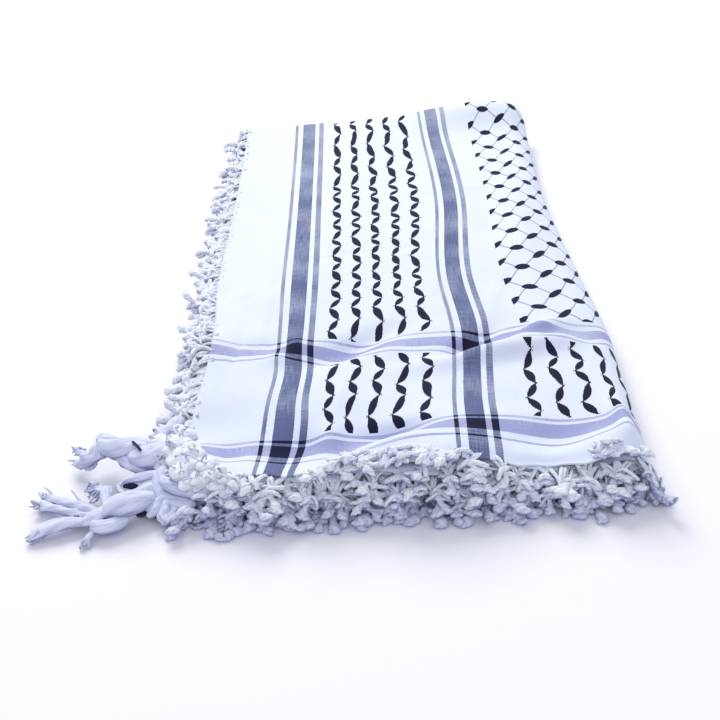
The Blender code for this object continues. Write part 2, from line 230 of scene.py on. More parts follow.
@dataclass(frozen=True)
class LyingForm:
    """How the folded scarf lies: sizes, the height of its top and its sideways drift.

    Places are (u, v): u from the left cloth edge to the right, v from the front cloth
    edge to the back, both as the flat cloth would have them.
    """

    width: float = 0.304
    depth: float = 0.600
    fold_reach: float = 0.022
    roll_rate: float = 0.0275        # flat cloth that goes into each radian of the fold
    small_fold: float = 0.0080
    small_turn: float = 0.94 * math.pi
    curl: float = 0.0035             # radius of the curl along the back fold
    curl_turn: float = math.radians(150.0)
    base: tuple = (
        # v, height
        (0.00, .0323), (0.04, .0316), (0.09, .0333), (0.15, .0303), (0.22, .0291),
        (0.30, .0286), (0.45, .0299), (0.56, .0334), (0.60, .0373),
    )
    swells: tuple = (
        # u, v, half length, half width, turn in degrees, height
        (.0738, .0285, .0311, .0251, -0.9, -.0109),     # trough behind the front left edge
        (.1765, .0349, .0343, .0232, -0.4, .0068),      # swell at the front edge
        (.2494, .0273, .0277, .0295, -0.5, -.0080),     # trough by the front right corner
        (.2937, .0368, .0097, .0284, 2.4, .0093),       # small fold at that corner
        (.2219, .1293, .0634, .0101, 12.2, .0099),      # ridge of the right tuck
        (.2504, .5941, .0746, .0283, 0.0, .0152),       # lip of the back fold at the right
        (.1221, .0397, .0275, .0285, 0.0, -.0057),
        (.0200, .0808, .0301, .0394, 0.0, -.0017),
        (.2637, .3341, .0161, .0952, -2.8, .0053),      # long rise beside the right fold
        (.0304, .4067, .0404, .1532, 2.3, -.0087),      # lower left side
        (.2468, .1734, .0245, .0199, 0.0, .0022),
        (.0925, .1966, .0414, .0512, 0.5, -.0030),
        (.1355, .5553, .0425, .0514, 0.6, .0053),
    )
    drift_u: tuple = (0.00, 0.10, 0.20, 0.30)
    drift_v: tuple = (0.00, 0.07, 0.11, 0.15, 0.25, 0.40, 0.60)
    drift_table: tuple = (
        (-.0009, -.0076, -.0035, -.0017),
        (-.0020, -.0050, -.0012, .0012),
        (.0010, .0012, .0019, .0026),
        (.0032, .0007, .0050, .0040),
        (-.0034, .0025, .0004, -.0005),
        (-.0049, .0013, .0087, -.0067),
        (-.0056, .0000, .0018, .0000),
    )
    drift_fade: float = 0.030        # the drift dies away this far beneath
    nudges: tuple = (
        # u, v, reach across, reach along, sideways shift
        (.0880, .0550, .0240, .0320, .0062),
        (.0600, .0650, .0200, .0400, .0014),
    )
    creases: tuple = (
        # u, v, half length, half width, turn in degrees, height
        (.105, .0900, .050, .0040, 78.0, .0009),
        (.040, .2200, .120, .0035, 88.0, .0010),
        (.020, .1500, .060, .0030, 84.0, -.0010),
        (.034, .3900, .030, .0032, 58.0, .0012),
        (.026, .2450, .026, .0030, 52.0, .0011),
        (.230, .2300, .070, .0050, 70.0, .0010),
        (.060, .4500, .050, .0050, 10.0, .0008),
        (.180, .4200, .080, .0045, 4.0, .0008),
        (.120, .3000, .080, .0045, 6.0, -.0007),
    )

    tucks: tuple = (
        # u, v, half length, half width, turn in degrees, height
        (.140, .105, .300, .040, 0.0, -.0042),      # long sag behind the front edge
        (.010, .058, .050, .026, 0.0, -.0085),      # hollow behind the corner tassels
        (.030, .030, .014, .016, 0.0, -.0055),
        (-.005, .000, .030, .010, 0.0, -.0080),     # droop of the front left corner
        (.000, .026, .012, .010, 0.0, .0045),
        (.172, .010, .040, .014, 0.0, .0055),       # rise along the middle of the front
        (.145, .025, .022, .007, 0.0, .0040),       # lip and groove of the front tuck
        (.145, .040, .024, .008, 0.0, -.0090),
        (.110, .026, .010, .012, 0.0, -.0045),
        (.098, .046, .012, .010, 0.0, .0030),
        (.080, .040, .010, .008, 0.0, -.0022),
        (.236, .000, .030, .006, 0.0, -.0040),
        (.285, .017, .022, .013, 0.0, .0070),       # rise at the front right corner
        (.262, .012, .015, .008, 0.0, .0022),
        (.232, .043, .030, .014, 0.0, .0042),
        (.106, .150, .040, .012, 33.0, -.0105),     # slanting groove across the dark stripe
        (.196, .146, .026, .009, 45.0, -.0088),     # groove and ridge of the right tuck
        (.247, .153, .020, .007, 28.0, .0085),
        (.284, .145, .014, .013, 0.0, -.0065),
        (-.002, .158, .014, .022, 0.0, .0048),      # left edge lifts
        (.040, .156, .018, .010, 0.0, -.0036),
        (.052, .137, .009, .007, 0.0, .0034),
        (.066, .157, .008, .010, 0.0, .0034),
        (.137, .137, .012, .010, 0.0, .0022),
    )

    @property
    def shoulder(self) -> float:
        """Where the top starts to round off into the right fold."""
        return self.width - self.fold_reach

    @property
    def lengths(self) -> tuple[float, float, float, float]:
        """Flat lengths of the top, the right fold, the underside and the small fold."""
        return (self.shoulder, math.pi * self.roll_rate, self.shoulder - self.small_fold,
                self.small_turn * self.small_fold)

    def height(self, u: np.ndarray, v: np.ndarray, rise: float = 1.0,
               sag: float = 1.0) -> np.ndarray:
        """Height of the top: base(v) + Σ h·exp(−(a/ra)² − (b/rb)²), a and b turned to each.

        Args:
            u: places across.
            v: places along.
            rise: scale of the swells that stand up.
            sag: scale of the troughs.

        Returns:
            Heights above the floor.
        """
        table = np.array(self.base)
        total = smooth_curve(table[:, 0], table[:, 1], v)
        for mid_u, mid_v, long, wide, turn, step in self.swells + self.tucks + self.creases:
            cosine, sine = math.cos(math.radians(turn)), math.sin(math.radians(turn))
            along = (u - mid_u) * cosine + (v - mid_v) * sine
            beside = (v - mid_v) * cosine - (u - mid_u) * sine
            scale = rise if step > 0.0 else sag
            total = total + scale * step * np.exp(-(along / long) ** 2 - (beside / wide) ** 2)
        return total

    def drift(self, u: np.ndarray, v: np.ndarray) -> np.ndarray:
        """Sideways drift of the cloth: its table read smoothly in v and u, and the nudges."""
        columns = [smooth_curve(self.drift_v, column, v) for column in zip(*self.drift_table)]
        u = np.clip(u, self.drift_u[0], self.drift_u[-1])
        total = np.zeros(np.broadcast(u, v).shape)
        for place, column in zip(self.drift_u, columns):
            near = np.clip(1.0 - np.abs(u - place) / self.drift_u[1], 0.0, 1.0)
            total = total + column * near * near * (3.0 - 2.0 * near)
        for mid_u, mid_v, across, along, step in self.nudges:
            total = total + step * np.exp(-((u - mid_u) / across) ** 2
                                          - ((v - mid_v) / along) ** 2)
        return total

    def section(self, u: np.ndarray, v: np.ndarray) -> tuple[np.ndarray, np.ndarray]:
        """Outside of the cloth and the way in, for flat places that run round the section.

        The right fold is (s + R·sin o, H/2·(1 + cos o)) with o = (u − s)/rate, and the small
        fold is (r(1 − sin w), r(1 − cos w)).

        Args:
            u: flat places from the top's left edge, round the right fold and beneath.
            v: depth.

        Returns:
            Points (..., 3) and unit directions into the cloth (..., 3).
        """
        top, roll, under, small = self.lengths
        over = np.clip((u - top) / self.roll_rate, 0.0, math.pi)
        lower = np.clip(u - top - roll, 0.0, under)
        swing = np.clip(u - top - roll - under, 0.0, small) / self.small_fold
        half = self.height(np.minimum(u, top + roll / 2), v) / 2.0
        leaf_x = np.where(over > 0, top + self.fold_reach * np.sin(over), u)
        leaf_z = np.where(over > 0, half * (1.0 + np.cos(over)), 2.0 * half)
        fade = np.clip(1.0 - lower / self.drift_fade, 0.0, 1.0)
        leaf_x = leaf_x - lower + self.drift(u, v) * fade
        x = np.where(swing > 0, self.small_fold * (1.0 - np.sin(swing)), leaf_x)
        z = np.where(swing > 0, self.small_fold * (1.0 - np.cos(swing)), leaf_z)
        inward = np.stack([
            np.where(swing > 0, np.sin(swing), -np.sin(over) * half),
            np.zeros_like(x),
            np.where(swing > 0, np.cos(swing), -np.cos(over) * self.fold_reach)], -1)
        return np.stack([x, np.broadcast_to(v, x.shape), z], -1), unit(inward)


# --------------------------------------------------------------------------- shading


class Term:
    """A value inside a node tree, written as ordinary arithmetic."""

    def __init__(self, tree: bpy.types.NodeTree, socket: bpy.types.NodeSocket) -> None:
        """Hold an output socket and the tree that it is in."""
        self.tree = tree
        self.socket = socket

    def _maths(self, operation: str, *others: "Term | float") -> "Term":
        """Add a Math node for the operation on this value and the others."""
        node = self.tree.nodes.new("ShaderNodeMath")
        node.operation = operation
        self.tree.links.new(self.socket, node.inputs[0])
        for place, other in enumerate(others, start=1):
            if isinstance(other, Term):
                self.tree.links.new(other.socket, node.inputs[place])
            else:
                node.inputs[place].default_value = other
        return Term(self.tree, node.outputs[0])

    def __add__(self, other: "Term | float") -> "Term":
        """The sum."""
        return self._maths("ADD", other)

    def __sub__(self, other: "Term | float") -> "Term":
        """The difference."""
        return self._maths("SUBTRACT", other)

    def __mul__(self, other: "Term | float") -> "Term":
        """The product."""
        return self._maths("MULTIPLY", other)

    def __truediv__(self, other: "Term | float") -> "Term":
        """The quotient."""
        return self._maths("DIVIDE", other)

    def __lt__(self, other: "Term | float") -> "Term":
        """1 where less, else 0."""
        return self._maths("LESS_THAN", other)

    def __gt__(self, other: "Term | float") -> "Term":
        """1 where greater, else 0."""
        return self._maths("GREATER_THAN", other)

    def size(self) -> "Term":
        """The value without its sign."""
        return self._maths("ABSOLUTE")

    def whole(self) -> "Term":
        """The nearest whole number."""
        return self._maths("ROUND")

    def stepped(self, step: float) -> "Term":
        """The value in even steps."""
        return self._maths("SNAP", step)

    def part(self) -> "Term":
        """Distance from the nearest whole number, −0.5 to 0.5."""
        return self - self.whole()

    def cosine(self) -> "Term":
        """The cosine of the value."""
        return self._maths("COSINE")

    def power(self, other: float) -> "Term":
        """The value raised to a power."""
        return self._maths("POWER", other)

    def least(self, other: "Term | float") -> "Term":
        """The lesser of two values."""
        return self._maths("MINIMUM", other)

    def most(self, other: "Term | float") -> "Term":
        """The greater of two values."""
        return self._maths("MAXIMUM", other)

    def between(self, low: float, high: float) -> "Term":
        """1 where the value lies from low to high, else 0."""
        return (self > low) * (self < high)


class Effect:
    """A node group with named sockets, built once and shared."""

    def __init__(self, name: str, inputs: dict[str, float], outputs: tuple[str, ...]) -> None:
        """Make the group with its named inputs, at their values, and its named outputs."""
        self.tree = bpy.data.node_groups.new(name, "ShaderNodeTree")
        for title, value in inputs.items():
            socket = self.tree.interface.new_socket(title, in_out="INPUT",
                                                    socket_type="NodeSocketFloat")
            socket.default_value = value
        for title in outputs:
            self.tree.interface.new_socket(title, in_out="OUTPUT",
                                           socket_type="NodeSocketFloat")
        self.entry = self.tree.nodes.new("NodeGroupInput")
        self.exit = self.tree.nodes.new("NodeGroupOutput")

    def take(self, title: str) -> Term:
        """The named input as a value."""
        return Term(self.tree, self.entry.outputs[title])

    def give(self, title: str, value: Term) -> None:
        """Send a value to the named output."""
        self.tree.links.new(value.socket, self.exit.inputs[title])

    def noise(self, u: Term, v: Term, scale: float, detail: float = 0.0) -> Term:
        """Soft noise over (u, v), from −0.5 to 0.5."""
        place = self.tree.nodes.new("ShaderNodeCombineXYZ")
        self.tree.links.new(u.socket, place.inputs["X"])
        self.tree.links.new(v.socket, place.inputs["Y"])
        node = self.tree.nodes.new("ShaderNodeTexNoise")
        node.noise_dimensions = "2D"
        node.inputs["Scale"].default_value = scale
        node.inputs["Detail"].default_value = detail
        self.tree.links.new(place.outputs[0], node.inputs["Vector"])
        return Term(self.tree, node.outputs["Fac"]) - 0.5

    def ramp(self, value: Term, reach: float, stops: list[tuple[float, float]],
             steps: bool = True) -> Term:
        """Read a value from 0 to reach through (place, level) stops, as steps or as slopes."""
        node = self.tree.nodes.new("ShaderNodeValToRGB")
        node.color_ramp.interpolation = "CONSTANT" if steps else "LINEAR"
        self.tree.links.new((value / reach).socket, node.inputs["Fac"])
        elements = node.color_ramp.elements
        elements[0].position, elements[0].color = 0.0, (0.0, 0.0, 0.0, 1.0)
        elements.remove(elements[1])
        for start, level in stops:
            element = elements.new(start / reach)
            element.color = (level, level, level, 1.0)
        return Term(self.tree, node.outputs["Color"])

    def use(self, tree: bpy.types.NodeTree, **links: Term) -> dict[str, Term]:
        """Add this effect to another tree.

        Args:
            tree: the tree that uses it.
            links: values for its inputs, with _ for a space in the name.

        Returns:
            Its outputs by name.
        """
        node = tree.nodes.new("ShaderNodeGroup")
        node.node_tree = self.tree
        for title, value in links.items():
            socket = node.inputs[title.replace("_", " ")]
            if isinstance(value, Term):
                tree.links.new(value.socket, socket)
            else:
                socket.default_value = value
        return {out.name: Term(tree, out) for out in node.outputs}


@dataclass(frozen=True)
class WovenPattern:
    """The scarf's woven pattern over its flat cut, as masks. It mirrors about the middle."""

    middle: float = 0.610
    stripes_u: tuple = (
        # start, end, level
        (.0500, .0535, .80), (.0580, .0705, 1.0), (.0745, .0795, .85),
        (.1810, .1840, .80), (.1885, .2015, 1.0), (.2060, .2100, .85),
    )
    stripes_v: tuple = (
        (.0194, .0216, .75), (.0276, .0391, 1.0), (.0419, .0439, .75),
        (.1359, .1381, .70), (.1426, .1546, .90), (.1591, .1613, .70),
    )
    column: float = 0.0945           # first zigzag column between the two long stripes
    column_pitch: float = 0.01735
    columns: int = 5
    net_column: float = 0.2360       # first column of the net and of the zigzags before it
    net_pitch: float = 0.0180
    net_row: float = 0.1881
    net_row_pitch: float = 0.03297
    net_slant: float = 0.13          # rows that the net climbs for each column
    net_start: float = 0.1650
    strokes: tuple = (
        # places along of the columns' main strokes, which are longer towards both ends
        .058, .095, .132, .1645, .2015, .234, .258, .292, .3225, .353, .380, .4125, .4375,
        .4775, .526, .5805, .620,
    )
    zigzag_zones: tuple = ((.0460, .1340), (.1640, .5950))
    thread: float = 0.0008
    stroke_step: tuple = (0.0004, 0.0011)    # the strokes' outlines follow the threads
    stroke_run: float = 0.65                 # length along that holds every stroke
    stroke_start: float = 1.57
    stroke_reach: float = 0.28               # half length of a stroke, in periods
    stroke_bend: float = 190.0
    stroke_lean: float = 0.0085
    stroke_tip: float = 0.0003
    thick: float = 0.0031
    thin: float = 0.0025
    far_side: float = 0.215                  # zigzags past this belong to the net's columns
    net_line: float = 0.0012
    knot_long: float = 0.0066
    knot_wide: float = 0.0046
    crossing: float = 0.30                   # stripes that cross are dark above this product

    def stops(self, stripes: tuple) -> list[tuple[float, float]]:
        """Steps of a ramp that is each stripe's level inside it and 0 outside."""
        return [stop for start, end, level in stripes for stop in ((start, level), (end, 0.0))]

    def stroke(self, place: Term, side: Term, lean: float, wide: float) -> Term:
        """One leaf-shaped stroke: |side − lean·place·(1 + bend·place⁴)| < wide·(1 − q^2.4)^1.6.

        q is the distance from its middle as a share of its half length.

        Args:
            place: periods from the stroke's middle, −0.5 to 0.5.
            side: metres from the column's middle.
            lean: metres across for each period along.
            wide: half width at the stroke's middle.

        Returns:
            1 inside the stroke, else 0.
        """
        reach = (place.size() * (1.0 / self.stroke_reach)).least(1.0).power(2.4)
        hook = place.size().power(4.0) * self.stroke_bend + 1.0
        leaf = (reach * -1.0 + 1.0).power(1.6) * wide + (reach < 0.99) * self.stroke_tip
        return (side - place * hook * lean).size() < leaf

    def zigzag(self) -> Effect:
        """Columns of thick and thin strokes that lean one way and the other in turn."""
        made = Effect("Zigzag strokes", {"Across": 0.0, "Along": 0.0}, ("Ink",))
        u, v = made.take("Across"), made.take("Along")
        far = u > self.far_side
        first = far * (self.net_column - self.column) + self.column
        pitch = far * (self.net_pitch - self.column_pitch) + self.column_pitch
        number = ((u - first) / pitch).whole()
        wobble = made.noise(number * 3.7 + far * 9.0, v * 28.0, 1.0)
        drift = made.noise(number * 5.3 + far * 5.0, v * 60.0, 1.0)
        step_u, step_v = self.stroke_step
        even = v.stepped(step_v)
        side = (u - first - number * pitch + drift * 0.0022).stepped(step_u)
        count = len(self.strokes) + 2.0
        stops = [(place, (self.stroke_start + order) / count)
                 for order, place in enumerate(self.strokes)]
        phase = (made.ramp(even, self.stroke_run, stops, steps=False) * count
                 - self.stroke_start + wobble * 0.5 + number * 0.08)
        thick = self.stroke(phase.part(), side, -self.stroke_lean, self.thick)
        thin = self.stroke((phase + 0.5).part(), side, self.stroke_lean, self.thin)
        inside = far + (number > -0.5) * (number < self.columns - 0.5)
        front, back = self.zigzag_zones
        zone = v.between(*front) + (v.between(*back) * (far * -1.0 + 1.0))
        shown = inside.least(1.0) * zone * (number > -0.5)
        made.give("Ink", thick.most(thin) * shown)
        return made

    def net(self) -> Effect:
        """The net: v = row ± (1 − cos(π·b))/4 lines, b in columns, and a knot at each crossing."""
        made = Effect("Net of knots", {"Across": 0.0, "Along": 0.0}, ("Ink", "Line"))
        u, v = made.take("Across"), made.take("Along")
        ripple = made.noise(u * 40.0, v * 40.0, 1.0) * 0.10
        column = (u - self.net_column) / self.net_pitch
        row = ((v - self.net_row) / self.net_row_pitch + 0.5
               - (column - 1.0) * self.net_slant + ripple)
        bow = ((column * math.pi).cosine() * -0.25) + 0.25
        line_one = (row - bow).part().size()
        line_two = (row + bow).part().size()
        line = (line_one.least(line_two) * self.net_row_pitch) < self.net_line
        nearest = column.whole()
        odd = ((nearest * 0.5).part().size() > 0.25)
        side = (column - nearest) * self.net_pitch
        away = (row - odd * 0.5).part() * self.net_row_pitch
        lean = odd * -1.0 + 0.65
        slant = (away - side * lean).size() * (1.0 / self.knot_wide)
        long = side.size() * (1.0 / self.knot_long)
        knot = (long.power(2.0) + slant.power(1.6)) < 1.0
        zone = (u > self.net_column - 0.0008) * (v > self.net_start)
        made.give("Ink", knot * zone)
        made.give("Line", line * zone)
        return made

    def weave(self) -> Effect:
        """Threads of the plain weave: fine ribs both ways and soft streaks."""
        made = Effect("Plain weave", {"Across": 0.0, "Along": 0.0}, ("Height", "Tone"))
        u, v = made.take("Across"), made.take("Along")
        turn = 2.0 * math.pi / self.thread
        ribs = (u * turn).cosine() * (v * turn).cosine()
        streak_u = made.noise(u * 1500.0, v * 60.0, 1.0)
        streak_v = made.noise(u * 60.0, v * 1500.0, 1.0)
        made.give("Height", ribs * 0.35 + streak_u * 0.5 + streak_v * 0.6)
        made.give("Tone", streak_u * 0.6 + streak_v * 0.6 + made.noise(u * 30.0, v * 30.0, 1.0))
        return made

    def masks(self) -> Effect:
        """Put stripes, zigzags and net together.

        Returns:
            Effect with Band (the long stripes), Cross (the cross stripes), Net and Ink.
        """
        zigzag, net = self.zigzag(), self.net()
        made = Effect("Woven pattern", {"Across": 0.0, "Along": 0.0},
                      ("Band", "Cross", "Line", "Ink"))
        whole = made.take("Across")
        u = (whole - self.middle).size() * -1.0 + self.middle
        v = made.take("Along")
        shake = made.noise(u * 900.0, v * 900.0, 1.0) * 0.0004
        band = made.ramp(u + shake, 0.25, self.stops(self.stripes_u))
        cross = made.ramp(v + shake, 0.20, self.stops(self.stripes_v))
        strokes = zigzag.use(made.tree, Across=u, Along=v)["Ink"]
        knots = net.use(made.tree, Across=u, Along=v)
        both = (band * cross) > self.crossing
        made.give("Band", band)
        made.give("Cross", cross)
        made.give("Line", knots["Line"])
        made.give("Ink", strokes.most(knots["Ink"]).most(both))
        return made


@dataclass(frozen=True)
class CottonFinish:
    """White cotton cloth, plain or with the woven pattern."""

    white: tuple = (0.77, 0.83, 0.93)
    band: tuple = (0.115, 0.142, 0.275)
    cross: tuple = (0.38, 0.40, 0.64)
    line: tuple = (0.26, 0.29, 0.55)
    ink: tuple = (0.006, 0.009, 0.034)
    streak: float = 0.06             # how much the threads vary in tone
    fleck: float = 0.50              # and how much they break up the long stripes
    mottle: float = 0.75             # and the cross stripes
    back_paling: float = 0.36               # share of the long stripes' colour that grows paler for each metre towards the back
    line_share: float = 0.85
    roughness: float = 0.92
    bump: float = 0.10
    bump_reach: float = 0.0003
    sheen: float = 0.08

    def material(self, name: str, weave: Effect, masks: Effect | None) -> bpy.types.Material:
        """Build the cloth's material.

        Args:
            name: its name.
            weave: the plain weave effect.
            masks: the woven pattern's effect, or None for plain cloth.

        Returns:
            The material, which reads the piece's own map.
        """
        made, tree, shader = new_material(name, self.roughness)
        u, v = cut_places(tree)
        threads = weave.use(tree, Across=u, Along=v)
        tone = threads["Tone"] * self.streak + 1.0
        colour = scaled(tree, self.white, tone)
        if masks is not None:
            found = masks.use(tree, Across=u, Along=v)
            fleck = threads["Tone"] * self.fleck + 1.0
            # the long stripes grow paler towards the back, broken up by the threads' tone
            band_share = (v * -self.back_paling + 1.0) * fleck
            colour = blended(tree, colour, self.band, found["Band"] * band_share)
            mottled = threads["Tone"] * self.mottle + 1.0
            colour = blended(tree, colour, self.cross, found["Cross"] * mottled)
            colour = blended(tree, colour, self.line, found["Line"] * self.line_share)
            colour = blended(tree, colour, self.ink, found["Ink"])
        tree.links.new(colour, shader.inputs["Base Color"])
        bump(tree, shader, threads["Height"], self.bump, self.bump_reach)
        shader.inputs["Sheen Weight"].default_value = self.sheen
        shader.inputs["Sheen Roughness"].default_value = 0.5
        return made


@dataclass(frozen=True)
class YarnFinish:
    """Soft white cotton yarn with twisted plies."""

    colour: tuple = (0.94, 0.97, 1.00)
    # deep: the painted shade colour, blended over the yarn colour by the Shade of the twist or fibres
    deep: tuple = (0.30, 0.32, 0.56)
    ply_pitch: float = 0.0042
    # depth: how strongly that painted shade is blended in
    depth: float = 0.95
    bump: float = 0.5
    bump_reach: float = 0.0003
    shade_top: float = 0.020         # yarns below this height get painted shade, standing for the shade cast by those above
    # shade_depth: how much painted shade the yarns at the floor get
    shade_depth: float = 0.0
    roughness: float = 0.95
    sheen: float = 0.25

    def twist(self) -> Effect:
        """Ply grooves: cos(2π(turn·plies + along/pitch)), broken by noise. Its Shade is painted shade
        in the grooves and on the underside, with random tone.
        """
        made = Effect("Yarn twist", {"Around": 0.0, "Along": 0.0}, ("Height", "Shade"))
        around, along = made.take("Around"), made.take("Along")
        fuzz = made.noise(around * 14.0, along * 900.0, 1.0, 2.0)
        groove = ((around * 3.0 + along / self.ply_pitch + fuzz * 0.6)
                  * (2.0 * math.pi)).cosine()
        made.give("Height", groove * 0.6 + fuzz * 1.2)
        made.give("Shade", (groove * -0.18 + 0.10 + fuzz * 0.5 + self.under(around)).most(0.0))
        return made

    def under(self, around: Term) -> Term:
        """How far a place round a yarn faces down, as painted shade: 0.30 − 0.75·sin(2π·turn), none on
        top.
        """
        return ((around * (2.0 * math.pi) - 0.5 * math.pi).cosine() * -0.75 + 0.30).most(0.0)

    def fibres(self) -> Effect:
        """Lengthwise grooves of loose fibre: stretched noise, coarse and fine. Its Shade is painted
        shade in the hollows and on the underside.
        """
        made = Effect("Loose fibres", {"Around": 0.0, "Along": 0.0}, ("Height", "Shade"))
        around, along = made.take("Around"), made.take("Along")
        lean = around + along * 3.0
        coarse = made.noise(lean * 9.0, along * 45.0, 1.0, 1.0)
        fine = made.noise(lean * 34.0, along * 120.0, 1.0, 2.0)
        made.give("Height", coarse * 1.2 + fine * 0.8)
        made.give("Shade", (coarse * -1.2 + fine * -0.6 + 0.06 + self.under(around)).most(0.0))
        return made

    def material(self, name: str, surface: Effect) -> bpy.types.Material:
        """Build the yarn's material from its twist or fibre effect, with the painted shade blended in.
        """
        made, tree, shader = new_material(name, self.roughness)
        around, along = cut_places(tree)
        found = surface.use(tree, Around=around, Along=along)
        shade = found["Shade"] * self.depth
        # painted shade that darkens the yarns lower down, read from the height
        if self.shade_depth > 0.0:
            where = tree.nodes.new("ShaderNodeTexCoord")
            split = tree.nodes.new("ShaderNodeSeparateXYZ")
            tree.links.new(where.outputs["Object"], split.inputs[0])
            low = Term(tree, split.outputs["Z"]) * (-1.0 / self.shade_top) + 1.0
            shade = shade + low.most(0.0) * self.shade_depth
        # painted shade: the shade colour blended over the yarn colour
        colour = blended(tree, self.colour, self.deep, shade)
        tree.links.new(colour, shader.inputs["Base Color"])
        bump(tree, shader, found["Height"], self.bump, self.bump_reach)
        shader.inputs["Sheen Weight"].default_value = self.sheen
        return made


def cut_places(tree: bpy.types.NodeTree) -> tuple[Term, Term]:
    """The piece's own map: places on the flat cut, or the turn round a yarn and along it."""
    place = tree.nodes.new("ShaderNodeUVMap")
    place.uv_map = "cut"
    apart = tree.nodes.new("ShaderNodeSeparateXYZ")
    tree.links.new(place.outputs["UV"], apart.inputs[0])
    return Term(tree, apart.outputs["X"]), Term(tree, apart.outputs["Y"])


def new_material(name: str, roughness: float
                 ) -> tuple[bpy.types.Material, bpy.types.NodeTree, bpy.types.Node]:
    """Make a material with a plain Principled shader; returns it, its tree and the shader."""
    made = bpy.data.materials.new(name)
    made.use_nodes = True
    shader = made.node_tree.nodes["Principled BSDF"]
    shader.inputs["Roughness"].default_value = roughness
    shader.inputs["Specular IOR Level"].default_value = 0.2
    return made, made.node_tree, shader


def blended(tree: bpy.types.NodeTree, under: bpy.types.NodeSocket | tuple, over: tuple,
            share: Term) -> bpy.types.NodeSocket:
    """Blend a colour over another, given as a socket or as a plain colour, by a share."""
    node = tree.nodes.new("ShaderNodeMix")
    node.data_type = "RGBA"
    node.clamp_factor = True
    tree.links.new(share.socket, node.inputs["Factor"])
    if isinstance(under, tuple):
        node.inputs["A"].default_value = (*under, 1.0)
    else:
        tree.links.new(under, node.inputs["A"])
    node.inputs["B"].default_value = (*over, 1.0)
    return node.outputs["Result"]


def scaled(tree: bpy.types.NodeTree, colour: tuple, tone: Term) -> bpy.types.NodeSocket:
    """Scale a colour by a varying tone."""
    node = tree.nodes.new("ShaderNodeVectorMath")
    node.operation = "SCALE"
    node.inputs[0].default_value = colour
    tree.links.new(tone.socket, node.inputs["Scale"])
    return node.outputs[0]


def bump(tree: bpy.types.NodeTree, shader: bpy.types.Node, height: Term, strength: float,
         distance: float) -> None:
    """Raise the surface by a varying height."""
    node = tree.nodes.new("ShaderNodeBump")
    node.inputs["Strength"].default_value = strength
    node.inputs["Distance"].default_value = distance
    tree.links.new(height.socket, node.inputs["Height"])
    tree.links.new(node.outputs[0], shader.inputs["Normal"])


# --------------------------------------------------------------------------- the scarf


@dataclass
class FoldedCloth:
    """The stretch of cloth that shows, with the woven pattern."""

    form: LyingForm
    origin: np.ndarray
    cloth: float = 0.0012
    front_wave: float = 0.0012       # how far the front edge strays
    front_reach: float = 0.030
    front_waves: tuple = ((1.0, 0.047, 0.6), (0.6, 0.021, 2.0))     # size, length, shift
    least_height: float = 0.0003
    crowding: float = 1.35           # how fast the rows crowd towards the front
    columns: tuple = (96, 22, 20, 12)
    rows: int = 200
    curl_rows: int = 8

    def places(self) -> tuple[np.ndarray, np.ndarray]:
        """Flat places of the grid: u round the section, v from the front, closer at the front."""
        ends = np.concatenate([[0.0], np.cumsum(self.form.lengths)])
        u = np.concatenate([np.linspace(low, high, count, endpoint=False)
                            for low, high, count in zip(ends, ends[1:], self.columns)])
        u = np.append(u, ends[-1])
        v = self.form.depth * np.linspace(0.0, 1.0, self.rows) ** self.crowding
        return u, v

    def build(self, material: bpy.types.Material) -> bpy.types.Object:
        """Build the sheet as a grid bent round the section and curled at the back.

        Past the back fold the point is S + n·r(1 − cos t) + y·r·sin t for a turn t.
        """
        form = self.form
        u, v = self.places()
        turn = np.linspace(0.0, form.curl_turn, self.curl_rows + 1)[1:]
        v_all = np.concatenate([v, np.full(self.curl_rows, form.depth)])
        turn_all = np.concatenate([np.zeros(self.rows), turn])
        grid_u, grid_v = np.meshgrid(u, v_all, indexing="ij")
        points, inward = form.section(grid_u, grid_v)
        curl = form.curl
        points = points + inward * (curl * (1.0 - np.cos(turn_all)))[None, :, None]
        points[..., 1] += curl * np.sin(turn_all)[None, :]
        near = np.clip(1.0 - grid_v / self.front_reach, 0.0, 1.0) ** 2
        points[..., 1] += near * waves(grid_u, self.front_waves) * self.front_wave
        flat = np.stack([grid_u, grid_v + curl * turn_all[None, :]], -1)
        points[..., 2] = np.maximum(points[..., 2], self.least_height)
        thing = grid_shape(points, flat).piece("folded_cloth", material, Slot.COTTON,
                                               self.origin)
        wall = thing.modifiers.new("wall", "SOLIDIFY")
        wall.thickness = self.cloth
        wall.offset = -1.0
        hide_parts("cloth_outer")
        return thing


